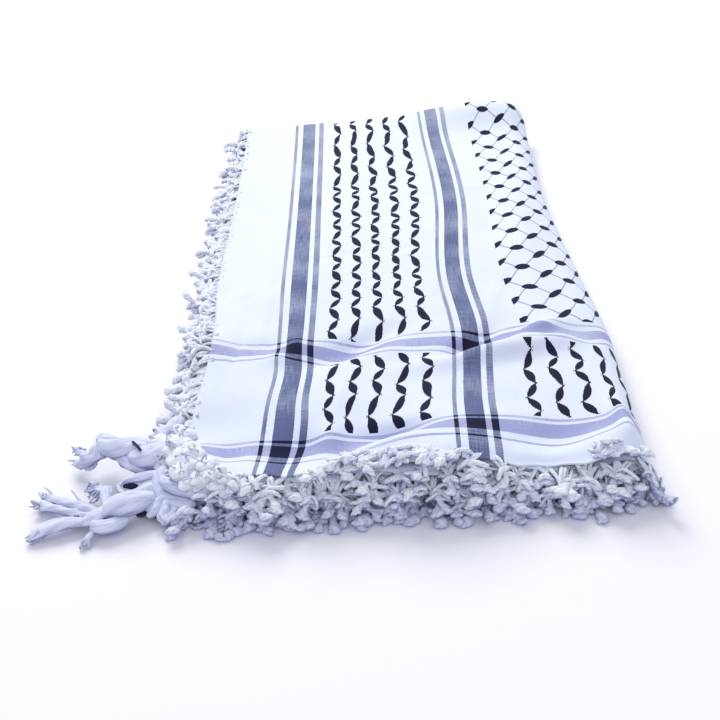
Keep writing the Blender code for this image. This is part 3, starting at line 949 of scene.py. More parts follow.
@dataclass
class HiddenLayers:
    """The leaves inside the fold, one form with a rounded edge for each leaf."""

    form: LyingForm
    origin: np.ndarray
    leaves: int = 7
    inset: float = 0.0022
    edge: float = 0.0030
    left_in: float = 0.0060          # how far the upper leaves stay in from the left
    shoulder_rise: float = 0.3       # share of the swells that the right fold's middle takes
    trough: float = 1.25             # how much deeper than the cloth the leaves lie in troughs
    edge_waves: tuple = ((0.0016, 0.083, 2.1), (0.0009, 0.031, 4.3))    # and shift a leaf
    steps: tuple = (60, 70, 42)

    def edge_wave(self, place: np.ndarray, leaf: np.ndarray) -> np.ndarray:
        """How far each leaf's edge strays, in metres, at a place along it."""
        return waves(place, [(size, length, leaf * shift)
                             for size, length, shift in self.edge_waves])

    def place(self, across: np.ndarray, along: np.ndarray, up: np.ndarray) -> np.ndarray:
        """Bend a block: z = low + (H − inset − low)·up, its edges in and out by |sin(π·leaves·up)|."""
        form = self.form
        leaf = np.floor(np.clip(up * self.leaves, 0.0, self.leaves - 1e-6))
        proud = self.edge * np.sqrt(np.abs(np.sin(math.pi * self.leaves * up)))
        v = form.depth * along ** 1.3
        shoulder = form.shoulder
        half = form.height(np.full_like(v, shoulder), v, rise=self.shoulder_rise) / 2.0
        low = self.inset
        top = form.height(across * shoulder, v, rise=0.0, sag=self.trough) - self.inset
        z = low + (top - low) * up
        tall = np.clip((z - half) / (half - self.inset), -1.0, 1.0)
        right = shoulder + (form.fold_reach - self.inset - self.edge) * np.sqrt(
            np.maximum(0.0, 1.0 - tall ** 2)) + 0.6 * proud
        inner = form.small_fold - self.inset
        deep = np.clip((z - form.small_fold) / inner, -1.0, 1.0)
        tucked = form.small_fold - inner * np.sqrt(np.maximum(0.0, 1.0 - deep ** 2))
        left = np.where(z < 2.0 * form.small_fold, tucked + 0.001,
                        self.left_in - proud + self.edge_wave(v, leaf))
        x = left + (right - left) * across
        x = x + form.drift(np.clip(x, 0.0, shoulder), v) * np.clip(z / 0.02, 0.0, 1.0)
        front = (self.edge - proud + self.edge_wave(x, leaf) + 0.001) * (1.0 - along) ** 6
        back = (proud - self.edge) * along ** 12
        return np.stack([x, v + front + back, z], -1)

    def build(self, material: bpy.types.Material) -> bpy.types.Object:
        """Build the outside of the bent block, side by side, joined at its rims."""
        shares = np.meshgrid(*[np.linspace(0.0, 1.0, count + 1) for count in self.steps],
                             indexing="ij")
        points = self.place(*shares).reshape(-1, 3)
        index = np.arange(len(points)).reshape([count + 1 for count in self.steps])
        faces = []
        for axis in range(3):
            for end in (0, -1):
                side = np.take(index, end, axis=axis)
                quad = np.stack([side[:-1, :-1], side[1:, :-1], side[1:, 1:], side[:-1, 1:]],
                                axis=-1).reshape(-1, 4)
                outward = (end == -1) != (axis == 1)
                faces.append(quad if outward else quad[:, ::-1])
        faces = np.concatenate(faces)
        used, faces = np.unique(faces, return_inverse=True)
        faces = faces.reshape(-1, 4)
        kept = points[used]
        flat = kept[:, :2] + kept[:, 2:] * 0.7
        shape = Shape(kept, [faces], [flat[faces]])
        thing = shape.piece("hidden_layers", material, Slot.COTTON, self.origin)
        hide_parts("cloth_layers")
        return thing


@dataclass
class Roots:
    """Where knots of fringe grow: places on the cloth edge with their directions."""

    place: np.ndarray       # (N, 3)
    along: np.ndarray       # (N, 3) unit, along the cloth edge
    out: np.ndarray         # (N, 3) unit, away from the cloth
    droop: np.ndarray       # (N,) radians below level
    reach: np.ndarray       # (N,) metres to the tip


@dataclass(frozen=True)
class Hang:
    """How the fringe of one edge hangs."""

    start: float            # first root of the top leaf
    start_step: float       # how much later each leaf beneath starts
    depth: float            # how far the roots lie below the leaf's top
    reach: float            # edge to tip
    uneven: float           # spread of the reach
    clump: float            # how far neighbours lean together
    lean: float             # spread of each one's own lean


FRONT_HANG = Hang(0.004, 0.003, 0.0016, 0.0265, 0.0022, 0.35, 0.20)
LEFT_HANG = Hang(0.066, 0.004, 0.0014, 0.0270, 0.0035, 0.25, 0.25)


@dataclass
class KnottedFringe:
    """Fringe along one side: yarns gathered in knots, each knot with loops and a tuft."""

    form: LyingForm
    origin: np.ndarray
    edge: Edge
    hang: Hang
    seed: int
    pitch: float = 0.0127
    yarn: float = 0.00115
    knot: float = 0.0034
    bulb: float = 0.0041
    nests: int = 4
    floor: float = 0.0008
    stray: float = 0.003             # how far a root strays along the edge
    scatter: float = 0.002           # and to and from the cloth
    bare_reach: float = 0.022        # the leaves' edges stay bare this far from the corner
    bare_heights: tuple = (0.009, 0.025)
    stack: float = 0.031             # height of the front edges
    fold_half: float = 0.016         # half the height of the right fold
    fold_squash: float = 0.06
    fold_lean: float = 0.35          # how far the fringe leans out round the right fold
    top_share: float = 0.88          # above this share of the height the top leaf's row lies
    top_reach: float = 0.0150
    reach_loss: float = 0.0075       # how much shorter the fringe is at full height
    overlap_back: tuple = (0.0100, 0.0060)   # how far the extra and the top row lie back
    overlap_up: float = 0.0030
    top_droop: float = math.radians(12.0)
    low_droop: float = math.radians(6.0)
    edge_droop: float = 0.80
    droop_spread: tuple = (0.35, 0.25, 0.20)     # top row, rows below it, left edge
    left_droop: tuple = (14.0, 5.0)  # degrees at the lowest leaf's row but one, and a leaf more
    knot_place: tuple = (0.30, 0.52)             # shares of the reach
    knot_sway: float = 0.0022
    knot_stray: float = 0.0009       # how far a knot's two lumps lie apart
    knot_sizes: tuple = (0.75, 1.20)
    knot_turns: tuple = (0.0, 1.3)
    knot_stout: float = 0.85
    leg_widths: tuple = (0.9, 1.35)
    loop_widths: tuple = (0.9, 1.9)
    loop_reach: tuple = (0.3, 0.9)   # shares of the pitch
    foot: float = 0.44               # share of the pitch from a knot to its outer yarns
    pair_gap: tuple = (0.0020, 0.0012)           # between a pair's yarns, at cloth and knot
    sunk: float = 0.0020             # how far inside the cloth edge the yarns start
    arch: float = 0.0014
    tuft_places: tuple = (0.0, 0.20, 0.45, 0.66, 0.84, 0.95, 1.0)
    tuft_widths: tuple = (0.62, 0.50, 0.50, 0.72, 1.00, 0.92, 0.50)
    tuft_length: tuple = (0.50, 0.64)            # shares of the reach
    tuft_width: tuple = (0.78, 1.12)
    tuft_flatness: float = 0.8
    tuft_sway: float = 0.38
    tuft_fall: float = 0.40
    tuft_bend: float = 0.0012
    lobe_size: float = 1.12          # the lobes at a tuft's end, as a share of its radius
    lobe_stout: float = 0.52
    loop_ways: tuple = (-1.0, -0.4, 0.5, 1.0)    # sideways share of each loop

    def clumps(self, run: np.ndarray, nest: int) -> np.ndarray:
        """How neighbouring strands lean together, −1 to 1 along the edge."""
        return waves(run, ((0.6, 0.071, nest * 1.9), (0.4, 0.038, nest * 3.1 + 1.0)))

    def overlap(self, x: np.ndarray) -> np.ndarray:
        """How far the top row lies back over the cloth edge, 0 to 1, at places across."""
        return smooth_curve((0.0, .03, .075, .10, .17, .20, .235, .255, .29),
                            (1.0, .4, .1, .9, 1.0, .4, .4, 1.0, 1.0), x)

    def front_roots(self, rng: np.random.Generator) -> Roots:
        """Roots along the front edges of the leaves, which are nested round the right fold."""
        form, hang = self.form, self.hang
        places, sides, droops, reaches, leans = [], [], [], [], []
        for row in range(self.nests + 1):
            nest = max(row - 1, 0)
            shrink = 1.0 - nest / self.nests
            shoulder = form.shoulder
            arc = math.pi * (form.fold_reach + self.fold_half) / 2.0 * shrink
            total = 2.0 * shoulder + arc
            first = hang.start + hang.start_step * nest
            run = np.arange(first, total - self.scatter, self.pitch)
            run = run + rng.uniform(-self.stray, self.stray, run.shape)
            turn = np.clip((run - shoulder) / arc, 0.0, 1.0) * math.pi
            x = np.where(run < shoulder, run,
                         np.where(run > shoulder + arc, total - run, shoulder))
            height = form.height(np.clip(x, 0.0, shoulder), np.zeros_like(x)) - hang.depth
            x = x + form.drift(x, np.zeros_like(x)) + form.fold_reach * shrink * np.sin(turn)
            z = height / 2.0 * (1.0 + (shrink - self.fold_squash) * np.cos(turn))
            y = rng.uniform(-self.scatter, self.scatter, run.shape)
            lift = np.clip(z / self.stack, 0.0, 1.0)
            top = lift > self.top_share
            back = (nest == 0) * top * self.overlap(x)
            pick = (back > 0.5) if row == 0 else np.ones(len(run), dtype=bool)
            y = y + self.overlap_back[min(row, 1)] * back
            z = z + self.overlap_up * back
            places.append(np.stack([x, y, z], -1)[pick])
            sides.append(np.stack([np.cos(turn), np.zeros_like(turn), -np.sin(turn)], -1)[pick])
            droop = np.where(top, self.top_droop * (1.0 - 2.0 * back),
                             self.low_droop + self.edge_droop * lift)
            spread = np.where(top, *self.droop_spread[:2])
            droops.append((droop + rng.normal(0.0, 1.0, run.shape) * spread)[pick])
            reach = np.where(top, self.top_reach, hang.reach - self.reach_loss * lift)
            reaches.append((reach + rng.normal(0.0, hang.uneven, run.shape))[pick])
            lean = hang.clump * self.clumps(run, nest) + rng.normal(0.0, hang.lean, run.shape)
            leans.append(lean[pick])
        place = np.concatenate(places)
        out = np.zeros_like(place)
        out[:, 1] = -1.0
        out[:, 0] = np.concatenate(leans) \
            + self.fold_lean * np.clip((place[:, 0] - form.shoulder) / form.fold_reach, 0.0, 1.0)
        low, high = self.bare_heights
        bare = (place[:, 0] < self.bare_reach) & (place[:, 2] > low) & (place[:, 2] < high)
        keep = ~bare
        return Roots(place[keep], np.concatenate(sides)[keep], unit(out)[keep],
                     np.concatenate(droops)[keep], np.concatenate(reaches)[keep])

    def left_roots(self, rng: np.random.Generator) -> Roots:
        """Roots along the left edges of the four upper leaves."""
        form, hang = self.form, self.hang
        places, droops, reaches, leans = [], [], [], []
        for nest in range(self.nests):
            first = hang.start + hang.start_step * nest
            v = np.arange(first, form.depth + self.stray, self.pitch)
            v = v + rng.uniform(-self.stray, self.stray, v.shape)
            top = form.height(np.zeros_like(v), np.clip(v, 0.0, form.depth)) - hang.depth
            low = 2.0 * form.small_fold
            z = top - (top - low) * nest / self.nests
            x = form.drift(np.zeros_like(v), np.clip(v, 0.0, form.depth)) \
                + rng.uniform(0.0, self.scatter, v.shape)
            places.append(np.stack([x, v, z], -1))
            least, more = self.left_droop
            droops.append(np.radians(least + more * (self.nests - 1 - nest))
                          + rng.normal(0.0, self.droop_spread[2], v.shape))
            reaches.append(hang.reach + rng.normal(0.0, hang.uneven, v.shape))
            leans.append(hang.clump * self.clumps(v, nest)
                         + rng.normal(0.0, hang.lean, v.shape))
        place = np.concatenate(places)
        out = np.zeros_like(place)
        out[:, 0] = -1.0
        out[:, 1] = np.concatenate(leans)
        along = np.zeros_like(place)
        along[:, 1] = 1.0
        return Roots(place, along, unit(out), np.concatenate(droops), np.concatenate(reaches))

    def tubes(self, roots: Roots, points: np.ndarray, radii: np.ndarray, sides: int,
              flatness: float = 1.0) -> Shape:
        """Tubes along points (N, M, 3) given as along the edge, out from it and up."""
        place = (roots.place[:, None, :] + points[..., :1] * roots.along[:, None, :]
                 + points[..., 1:2] * roots.out[:, None, :])
        place[..., 2] += points[..., 2]
        place[..., 2] = np.maximum(place[..., 2], np.maximum(self.floor, radii * 0.8))
        return sweep(place, radii, sides, flatness)

    def yarns(self, roots: Roots, start: np.ndarray, stop: np.ndarray, bow: np.ndarray,
              width: np.ndarray, rings: int = 6) -> Shape:
        """One yarn a root: P(t) = start·(1 − t) + stop·t + bow·sin(πt), of even width."""
        share = np.linspace(0.0, 1.0, rings)[None, :, None]
        points = start[:, None] * (1.0 - share) + stop[:, None] * share \
            + bow[:, None] * np.sin(math.pi * share)
        return self.tubes(roots, points, np.repeat(width[:, None], rings, axis=1), 5)

    def lump(self, roots: Roots, rng: np.random.Generator, middle: np.ndarray,
             size: np.ndarray, spin: np.ndarray, stout: float) -> Shape:
        """One short tube a root with a ball's profile, r(s) = r·√(1 − s²), lying by its spin."""
        share = np.linspace(-1.0, 1.0, 6)
        profile = np.sqrt(np.maximum(1.0 - share ** 2, 0.04))
        tilt = rng.uniform(-0.5, 0.5, len(size))
        way = np.stack([np.cos(spin), np.sin(spin), tilt], -1) * size[:, None]
        points = middle[:, None] + way[:, None] * share[None, :, None]
        radii = size[:, None] * profile * rng.uniform(0.85, 1.12, (len(size), 6)) * stout
        return self.tubes(roots, points, radii, 6)

    def build(self, material: bpy.types.Material) -> bpy.types.Object:
        """Build the yarns, knots, loops and tufts of every root."""
        rng = np.random.default_rng(self.seed)
        roots = self.front_roots(rng) if self.edge is Edge.FRONT else self.left_roots(rng)
        count = len(roots.place)
        fall = np.clip(roots.droop, -0.6, 1.3)
        gone = roots.reach * rng.uniform(*self.knot_place, count)
        knot = np.stack([rng.normal(0.0, self.knot_sway, count), np.cos(fall) * gone,
                         -np.sin(fall) * gone], -1)
        shapes = [self.legs(roots, rng, knot)]
        shapes += [self.lump(roots, rng, knot + rng.normal(0.0, self.knot_stray, (count, 3)),
                             self.knot * rng.uniform(*self.knot_sizes, count),
                             rng.uniform(-0.6, 0.6, count) + turn, self.knot_stout)
                   for turn in self.knot_turns]
        shapes += [self.tufts(roots, rng, knot), self.loops(roots, rng, knot)]
        thing = gathered(shapes).piece(f"{self.edge.value}_fringe", material, Slot.FRINGE,
                                       self.origin)
        nodes = 4 if self.edge is Edge.FRONT else 2
        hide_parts(*[f"fringe_{self.edge.value}_{n + 1}" for n in range(nodes)])
        return thing

    def legs(self, roots: Roots, rng: np.random.Generator, knot: np.ndarray) -> Shape:
        """Two pairs of yarns from the cloth edge to the knot, in a V, bowed up a little."""
        count = len(knot)
        made = []
        for foot, gap in ((-1.0, 0.0), (-1.0, 1.0), (1.0, 0.0), (1.0, -1.0)):
            start = np.zeros((count, 3))
            start[:, 0] = foot * self.pitch * self.foot + gap * self.pair_gap[0] \
                + rng.normal(0.0, 0.0005, count)
            start[:, 1] = -self.sunk
            bow = rng.normal(0.0, 0.0007, (count, 3))
            bow[:, 2] += self.arch
            stop = knot + np.array([gap * self.pair_gap[1], 0.0, 0.0])
            made.append(self.yarns(roots, start, stop, bow,
                                   self.yarn * rng.uniform(*self.leg_widths, count)))
        return gathered(made)

    def tufts(self, roots: Roots, rng: np.random.Generator, knot: np.ndarray) -> Shape:
        """One tuft a knot: a thin neck that widens to a blunt end with two lobes."""
        count = len(knot)
        share = np.linspace(0.0, 1.0, 8)
        widths = np.interp(share, self.tuft_places, self.tuft_widths)
        length = roots.reach * rng.uniform(*self.tuft_length, count)
        sway = rng.normal(0.0, self.tuft_sway, count)
        fall = np.clip(roots.droop + rng.normal(0.0, self.tuft_fall, count), -0.9, 1.4)
        way = np.stack([np.sin(sway), np.cos(sway) * np.cos(fall), -np.sin(fall)], -1)
        bend = rng.normal(0.0, self.tuft_bend, (count, 1, 3)) \
            * np.sin(math.pi * share)[None, :, None]
        points = knot[:, None] + (way * length[:, None])[:, None] * share[None, :, None] + bend
        width = rng.uniform(*self.tuft_width, count)
        radii = self.bulb * widths * width[:, None] * rng.uniform(0.92, 1.08, (count, 8))
        made = self.tubes(roots, points, radii, 8, flatness=self.tuft_flatness)
        tip = knot + way * (length * 0.93)[:, None]
        return gathered([made, self.lump(roots, rng, tip, self.bulb * self.lobe_size * width,
                                         rng.uniform(-0.4, 0.4, count) + sway, self.lobe_stout)])

    def loops(self, roots: Roots, rng: np.random.Generator, knot: np.ndarray) -> Shape:
        """Four loose yarns a knot that arch to the sides, forward and back."""
        count = len(knot)
        made = []
        for way in self.loop_ways:
            step = np.stack([self.pitch * rng.uniform(*self.loop_reach, count) * way,
                             rng.uniform(-0.005, 0.006, count),
                             rng.uniform(-0.004, 0.002, count)], -1)
            bow = rng.normal(0.0, 0.0012, (count, 3))
            bow[:, 2] += rng.uniform(0.0, 0.0034, count)
            bow[:, 1] += 0.0012
            made.append(self.yarns(roots, knot - step * 0.15, knot + step, bow,
                                   self.yarn * rng.uniform(*self.loop_widths, count), 7))
        return gathered(made)


@dataclass(frozen=True)
class Strand:
    """One stretch of a corner tassel: stations of x, y, z, radius and how it is pleated."""

    stations: tuple
    pleats: int = 5
    pleat_depth: float = 0.10
    turns: float = 0.6
    flatness: float = 0.9
    lumpy: float = 0.04


@dataclass
class CornerTassels:
    """The square's four corner tassels where they meet at the front left corner."""

    origin: np.ndarray
    seed: int = 11
    rings: int = 44
    sides: int = 28
    strands: tuple = (
        # smooth lobe
        Strand(((-.0086, .0398, .0250, .0050), (-.0154, .0375, .0230, .0082),
                (-.0223, .0362, .0210, .0094), (-.0285, .0358, .0200, .0097),
                (-.0353, .0387, .0190, .0075), (-.0405, .0435, .0180, .0044)), 5, .05, .15, .92, .03),
        # upper
        Strand(((-.0269, .0416, .0230, .0044), (-.0343, .0444, .0230, .0060),
                (-.0414, .0452, .0220, .0066), (-.0477, .0447, .0210, .0072),
                (-.0542, .0463, .0210, .0075), (-.0608, .0503, .0200, .0075),
                (-.0648, .0477, .0180, .0060), (-.0681, .0449, .0160, .0044),
                (-.0725, .0445, .0140, .0050), (-.0775, .0463, .0120, .0047)), 4, .13, .50, .95, .10),
        # upper knob
        Strand(((-.0514, .0489, .0240, .0038), (-.0577, .0528, .0240, .0047),
                (-.0624, .0544, .0230, .0044), (-.0652, .0527, .0210, .0031)), 4, .10, .30, .90, .10),
        # fork high
        Strand(((-.0706, .0464, .0150, .0028), (-.0768, .0514, .0140, .0026),
                (-.0807, .0552, .0130, .0024), (-.0833, .0566, .0120, .0019)), 3, .15, .40, .90, .06),
        # fork low
        Strand(((-.0709, .0447, .0120, .0031), (-.0756, .0453, .0100, .0035),
                (-.0796, .0468, .0090, .0035), (-.0825, .0494, .0080, .0022)), 3, .15, .40, .90, .06),
        # curled end
        Strand(((-.0756, .0434, .0080, .0014), (-.0711, .0420, .0080, .0014),
                (-.0681, .0426, .0100, .0013), (-.0653, .0419, .0130, .0011)), 3, .10, .50, 1.00, .05),
        # lobe in the shade
        Strand(((-.0262, .0290, .0150, .0044), (-.0350, .0329, .0150, .0050),
                (-.0425, .0376, .0160, .0050), (-.0489, .0433, .0170, .0044)), 4, .08, .30, .90, .05),
        # flap
        Strand(((-.0159, .0193, .0190, .0031), (-.0229, .0200, .0180, .0035),
                (-.0301, .0209, .0160, .0038), (-.0369, .0205, .0150, .0030),
                (-.0435, .0213, .0130, .0019)), 3, .08, .20, .80, .04),
        # flap low
        Strand(((-.0166, .0109, .0150, .0044), (-.0235, .0116, .0140, .0047),
                (-.0291, .0113, .0120, .0041), (-.0354, .0111, .0100, .0031)), 4, .07, .20, .80, .04),
        # flap rim
        Strand(((-.0437, .0215, .0120, .0015), (-.0460, .0188, .0110, .0016),
                (-.0448, .0148, .0100, .0019), (-.0393, .0103, .0100, .0020)), 3, .08, .20, .90, .03),
        # right lobe
        Strand(((-.0133, .0251, .0200, .0044), (-.0155, .0194, .0180, .0060),
                (-.0164, .0139, .0150, .0066), (-.0174, .0084, .0120, .0063),
                (-.0170, .0029, .0090, .0041)), 4, .05, .10, .90, .03),
        # bulb
        Strand(((-.0188, .0046, .0120, .0028), (-.0229, .0027, .0130, .0050),
                (-.0282, -.0004, .0135, .0075), (-.0344, -.0019, .0135, .0088),
                (-.0407, -.0037, .0130, .0085), (-.0467, -.0045, .0115, .0069),
                (-.0521, -.0053, .0100, .0053)), 6, .04, .12, .95, .02),
        # fan
        Strand(((-.0495, -.0017, .0100, .0031), (-.0520, .0052, .0110, .0035),
                (-.0532, .0121, .0120, .0041), (-.0538, .0182, .0120, .0035)), 5, .12, .10, .45, .04),
        # frayed tuft
        Strand(((-.0557, .0134, .0110, .0028), (-.0604, .0168, .0110, .0028),
                (-.0643, .0182, .0100, .0025), (-.0670, .0176, .0090, .0016)), 5, .20, .30, .80, .10),
        # under lobe
        Strand(((-.0346, -.0101, .0080, .0025), (-.0398, -.0139, .0075, .0044),
                (-.0458, -.0163, .0075, .0053), (-.0522, -.0168, .0075, .0050),
                (-.0585, -.0145, .0075, .0041)), 4, .09, .20, .90, .05),
        # neck
        Strand(((-.0463, -.0048, .0100, .0050), (-.0519, -.0067, .0095, .0057),
                (-.0566, -.0096, .0090, .0057), (-.0608, -.0116, .0085, .0047),
                (-.0648, -.0121, .0075, .0031)), 5, .08, .25, .85, .04),
        # yarn back high
        Strand(((-.0554, -.0055, .0095, .0028), (-.0644, -.0000, .0095, .0031),
                (-.0734, .0041, .0090, .0031), (-.0824, .0083, .0085, .0029),
                (-.0894, .0118, .0080, .0028), (-.0943, .0147, .0075, .0030)), 3, .17, 1.30, .95, .03),
        # yarn back low
        Strand(((-.0561, -.0071, .0075, .0028), (-.0654, -.0040, .0070, .0033),
                (-.0747, -.0009, .0070, .0031), (-.0843, .0033, .0065, .0030),
                (-.0916, .0058, .0065, .0033), (-.0969, .0077, .0060, .0035)), 3, .17, 1.20, .95, .03),
        # yarn front
        Strand(((-.0595, -.0125, .0075, .0028), (-.0672, -.0105, .0070, .0038),
                (-.0750, -.0109, .0070, .0050), (-.0822, -.0132, .0070, .0057),
                (-.0890, -.0154, .0060, .0053), (-.0943, -.0186, .0050, .0041),
                (-.0982, -.0219, .0040, .0022)), 5, .09, .35, .65, .03),
        # yarn front tip
        Strand(((-.0879, -.0141, .0065, .0025), (-.0930, -.0151, .0060, .0026),
                (-.0974, -.0165, .0050, .0019)), 3, .12, .30, .70, .03),
        # dangling
        Strand(((-.0566, -.0186, .0060, .0019), (-.0580, -.0220, .0050, .0021),
                (-.0600, -.0254, .0040, .0021), (-.0617, -.0282, .0025, .0013)), 3, .15, .40, .90, .04),
        # thin loose yarn
        Strand(((-.0651, .0025, .0090, .0010), (-.0689, .0056, .0100, .0013),
                (-.0722, .0096, .0110, .0008), (-.0774, .0159, .0120, .0006)), 3, .10, .40, 1.00, .04),
        # neck to the fringe
        Strand(((-.0103, .0072, .0100, .0038), (-.0162, .0027, .0100, .0044),
                (-.0210, -.0007, .0090, .0038), (-.0237, -.0051, .0080, .0025)), 4, .10, .20, .90, .05),
        # hollow cloth
        Strand(((-.0166, .0153, .0190, .0038), (-.0077, .0085, .0190, .0057),
                (.0020, .0040, .0180, .0063), (.0117, -.0006, .0180, .0057),
                (.0213, -.0052, .0180, .0038)), 4, .04, .10, .75, .03),
        # hollow low
        Strand(((-.0192, .0084, .0130, .0038), (-.0110, .0042, .0110, .0053),
                (-.0010, -.0015, .0110, .0057), (.0086, -.0051, .0110, .0044)), 4, .05, .10, .80, .03),
        # left corner
        Strand(((-.0237, .0557, .0230, .0038), (-.0184, .0585, .0240, .0050),
                (-.0138, .0650, .0240, .0050), (-.0112, .0754, .0230, .0038)), 4, .10, .40, .85, .08),
        # knot in the gap
        Strand(((-.0142, .0052, .0120, .0031), (-.0170, -.0001, .0100, .0035),
                (-.0198, -.0054, .0080, .0035), (-.0234, -.0066, .0050, .0022)), 3, .10, .30, .90, .08),
        # gap bridge
        Strand(((-.0080, .0020, .0110, .0038), (-.0115, -.0033, .0090, .0041),
                (-.0121, -.0096, .0070, .0041), (-.0097, -.0152, .0050, .0031)), 3, .12, .30, .90, .12),
        # gap bridge low
        Strand(((-.0049, -.0038, .0090, .0038), (-.0056, -.0101, .0070, .0038),
                (-.0024, -.0166, .0050, .0031)), 3, .12, .30, .90, .12),
    )
    lumps: tuple = (
        # x, y, z, size of the fluff that hides the cloth corner
        (-.0143, .0414, .0250, .0069), (-.0055, .0401, .0280, .0069),
        (.0053, .0271, .0300, .0075), (-.0040, .0275, .0260, .0082),
        (-.0146, .0303, .0210, .0069), (.0078, .0158, .0280, .0075),
        (.0165, .0121, .0305, .0063), (.0006, .0137, .0260, .0082), (.0220, .0029, .0295, .0063),
        (.0142, .0046, .0260, .0075), (.0301, -.0011, .0290, .0050),
        (.0246, -.0029, .0250, .0057), (.0374, -.0054, .0280, .0047),
        (-.0219, .0499, .0240, .0057), (-.0107, .0199, .0190, .0063),
        (.0324, -.0052, .0240, .0044), (.0042, .0030, .0230, .0057),
        (-.0034, .0524, .0260, .0057), (-.0117, .0602, .0240, .0050),
        (.0120, .0008, .0210, .0044), (-.0085, .0319, .0270, .0057),
        (-.0245, .0665, .0200, .0044), (.0155, .0075, .0285, .0050),
    )
    gap_shadows: tuple = (
        # painted shadow: near-black strands that stand for the deep shade in the holes and slits
        # between the tassels
        # slit beside the bulb
        Strand(((-.0200, .0051, .0090, .0016), (-.0236, .0008, .0070, .0031),
                (-.0280, -.0025, .0050, .0028), (-.0320, -.0030, .0040, .0016)), 3, .10, .20, .90, .05),
        # slit by the fringe
        Strand(((-.0153, -.0009, .0080, .0019), (-.0170, -.0044, .0060, .0028),
                (-.0181, -.0078, .0040, .0019)), 3, .10, .20, .90, .05),
        # high hole
        Strand(((-.0437, .0198, .0100, .0015), (-.0379, .0182, .0110, .0024),
                (-.0327, .0166, .0120, .0014)), 3, .10, .20, .80, .05),
        # hole in the cloth corner
        Strand(((-.0082, .0083, .0235, .0011), (-.0036, .0088, .0245, .0021),
                (.0016, .0098, .0250, .0011)), 3, .10, .20, .80, .05),
        # slits below
        Strand(((-.0520, -.0124, .0095, .0009), (-.0485, -.0132, .0100, .0015),
                (-.0463, -.0119, .0095, .0008)), 3, .10, .20, .80, .05),
        # slit low
        Strand(((-.0456, -.0185, .0095, .0009), (-.0430, -.0186, .0095, .0016),
                (-.0408, -.0173, .0090, .0008)), 3, .10, .20, .80, .05),
        # yarn slit
        Strand(((-.0716, -.0050, .0075, .0010), (-.0682, -.0056, .0078, .0014),
                (-.0644, -.0049, .0078, .0009)), 3, .10, .20, .80, .05),
        # high slit
        Strand(((-.0385, .0437, .0290, .0008), (-.0339, .0373, .0295, .0011),
                (-.0304, .0323, .0290, .0008)), 3, .10, .20, .80, .05),
    )

    end_round: float = 0.07          # share of a stretch over which its ends round off
    clear: float = 1.10              # how far the middle stays above the floor, in radii
    lump_length: float = 1.35
    lump_flatness: float = 0.62
    lump_sides: int = 20
    lump_pleats: Strand = Strand((), 4, 0.09, 0.3, 0.7, 0.16)
    lump_yarns: int = 4
    fray_ends: tuple = (
        # from x, y, z, to x, y, z, spread
        (-.0775, .0545, .0130, -.0850, .0580, .0115, .0025),
        (-.0780, .0470, .0090, -.0845, .0500, .0080, .0025),
        (-.0930, .0160, .0070, -.0985, .0180, .0070, .0035),
        (-.0960, .0080, .0055, -.1010, .0090, .0055, .0035),
        (-.0600, .0165, .0100, -.0665, .0190, .0090, .0040),
        (-.0590, .0180, .0100, -.0640, .0120, .0070, .0040),
        (-.0600, -.0240, .0040, -.0625, -.0285, .0020, .0018),
        (-.0900, -.0190, .0050, -.0985, -.0225, .0035, .0022),
    )
    fray_yarns: int = 8
    fray_radius: float = 0.0011
    wisp_radii: tuple = (0.0005, 0.0009)

    def swell(self, at: np.ndarray, sides: int, strand: Strand,
              rng: np.random.Generator) -> np.ndarray:
        """Pleats and lumps: 1 + d·(.65·cos p(a+τ) + .35·cos((2p+1)(a+τ)+1)) + l·soft waves.

        Args:
            at: share of the length at each ring.
            sides: corners of each ring.
            strand: its pleats and lumps.
            rng: draws the phases of the waves.

        Returns:
            Shares of the radius, (rings, sides).
        """
        angle = np.linspace(0.0, 2.0 * math.pi, sides, endpoint=False)[None, :]
        run = at[:, None]
        turned = angle + run * 2.0 * math.pi * strand.turns
        phase = rng.uniform(0.0, 2.0 * math.pi, 4)
        pleats = 0.65 * np.cos(strand.pleats * turned + phase[0]) \
            + 0.35 * np.cos((2 * strand.pleats + 1) * turned + phase[1])
        lumps = np.sin(11.0 * run + 2.0 * angle + phase[2]) \
            + 0.6 * np.sin(19.0 * run - 3.0 * angle + phase[3])
        return 1.0 + strand.pleat_depth * pleats + strand.lumpy * lumps

    def stretches(self, strands: tuple, rng: np.random.Generator) -> Shape:
        """Make each stretch as a pleated tube that stays above the floor."""
        made = []
        at = np.linspace(0.0, 1.0, self.rings)
        ends = np.sqrt(np.clip(np.minimum(at, 1.0 - at) / self.end_round, 0.01, 1.0))
        for strand in strands:
            table = np.array(strand.stations)
            fine = smooth_curve(np.linspace(0.0, 1.0, len(table)), table, at)
            radii = fine[:, 3] * ends
            path = fine[:, :3].copy()
            path[:, 2] = np.maximum(path[:, 2], radii * strand.flatness * self.clear)
            swell = self.swell(at, self.sides, strand, rng)
            made.append(sweep(path[None], radii[None], self.sides, strand.flatness, swell))
        return gathered(made)

    def build(self, material: bpy.types.Material) -> bpy.types.Object:
        """Build the tassels with their frayed yarn ends."""
        rng = np.random.default_rng(self.seed)
        made = gathered([self.stretches(self.strands, rng), self.frays(rng)])
        thing = made.piece("corner_tassels", material, Slot.TASSEL, self.origin)
        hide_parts("tassel_high", "tassel_short", "tassel_low", "tassel_low_yarn_back",
                    "tassel_low_yarn_front", "tassel_behind")
        return thing

    def dark(self, material: bpy.types.Material) -> bpy.types.Object:
        """Build the painted shadows: near-black strands in the holes and slits between the tassels."""
        made = self.stretches(self.gap_shadows, np.random.default_rng(self.seed + 1))
        return made.piece("tassel_gap_shadows", material, Slot.TASSEL, self.origin)

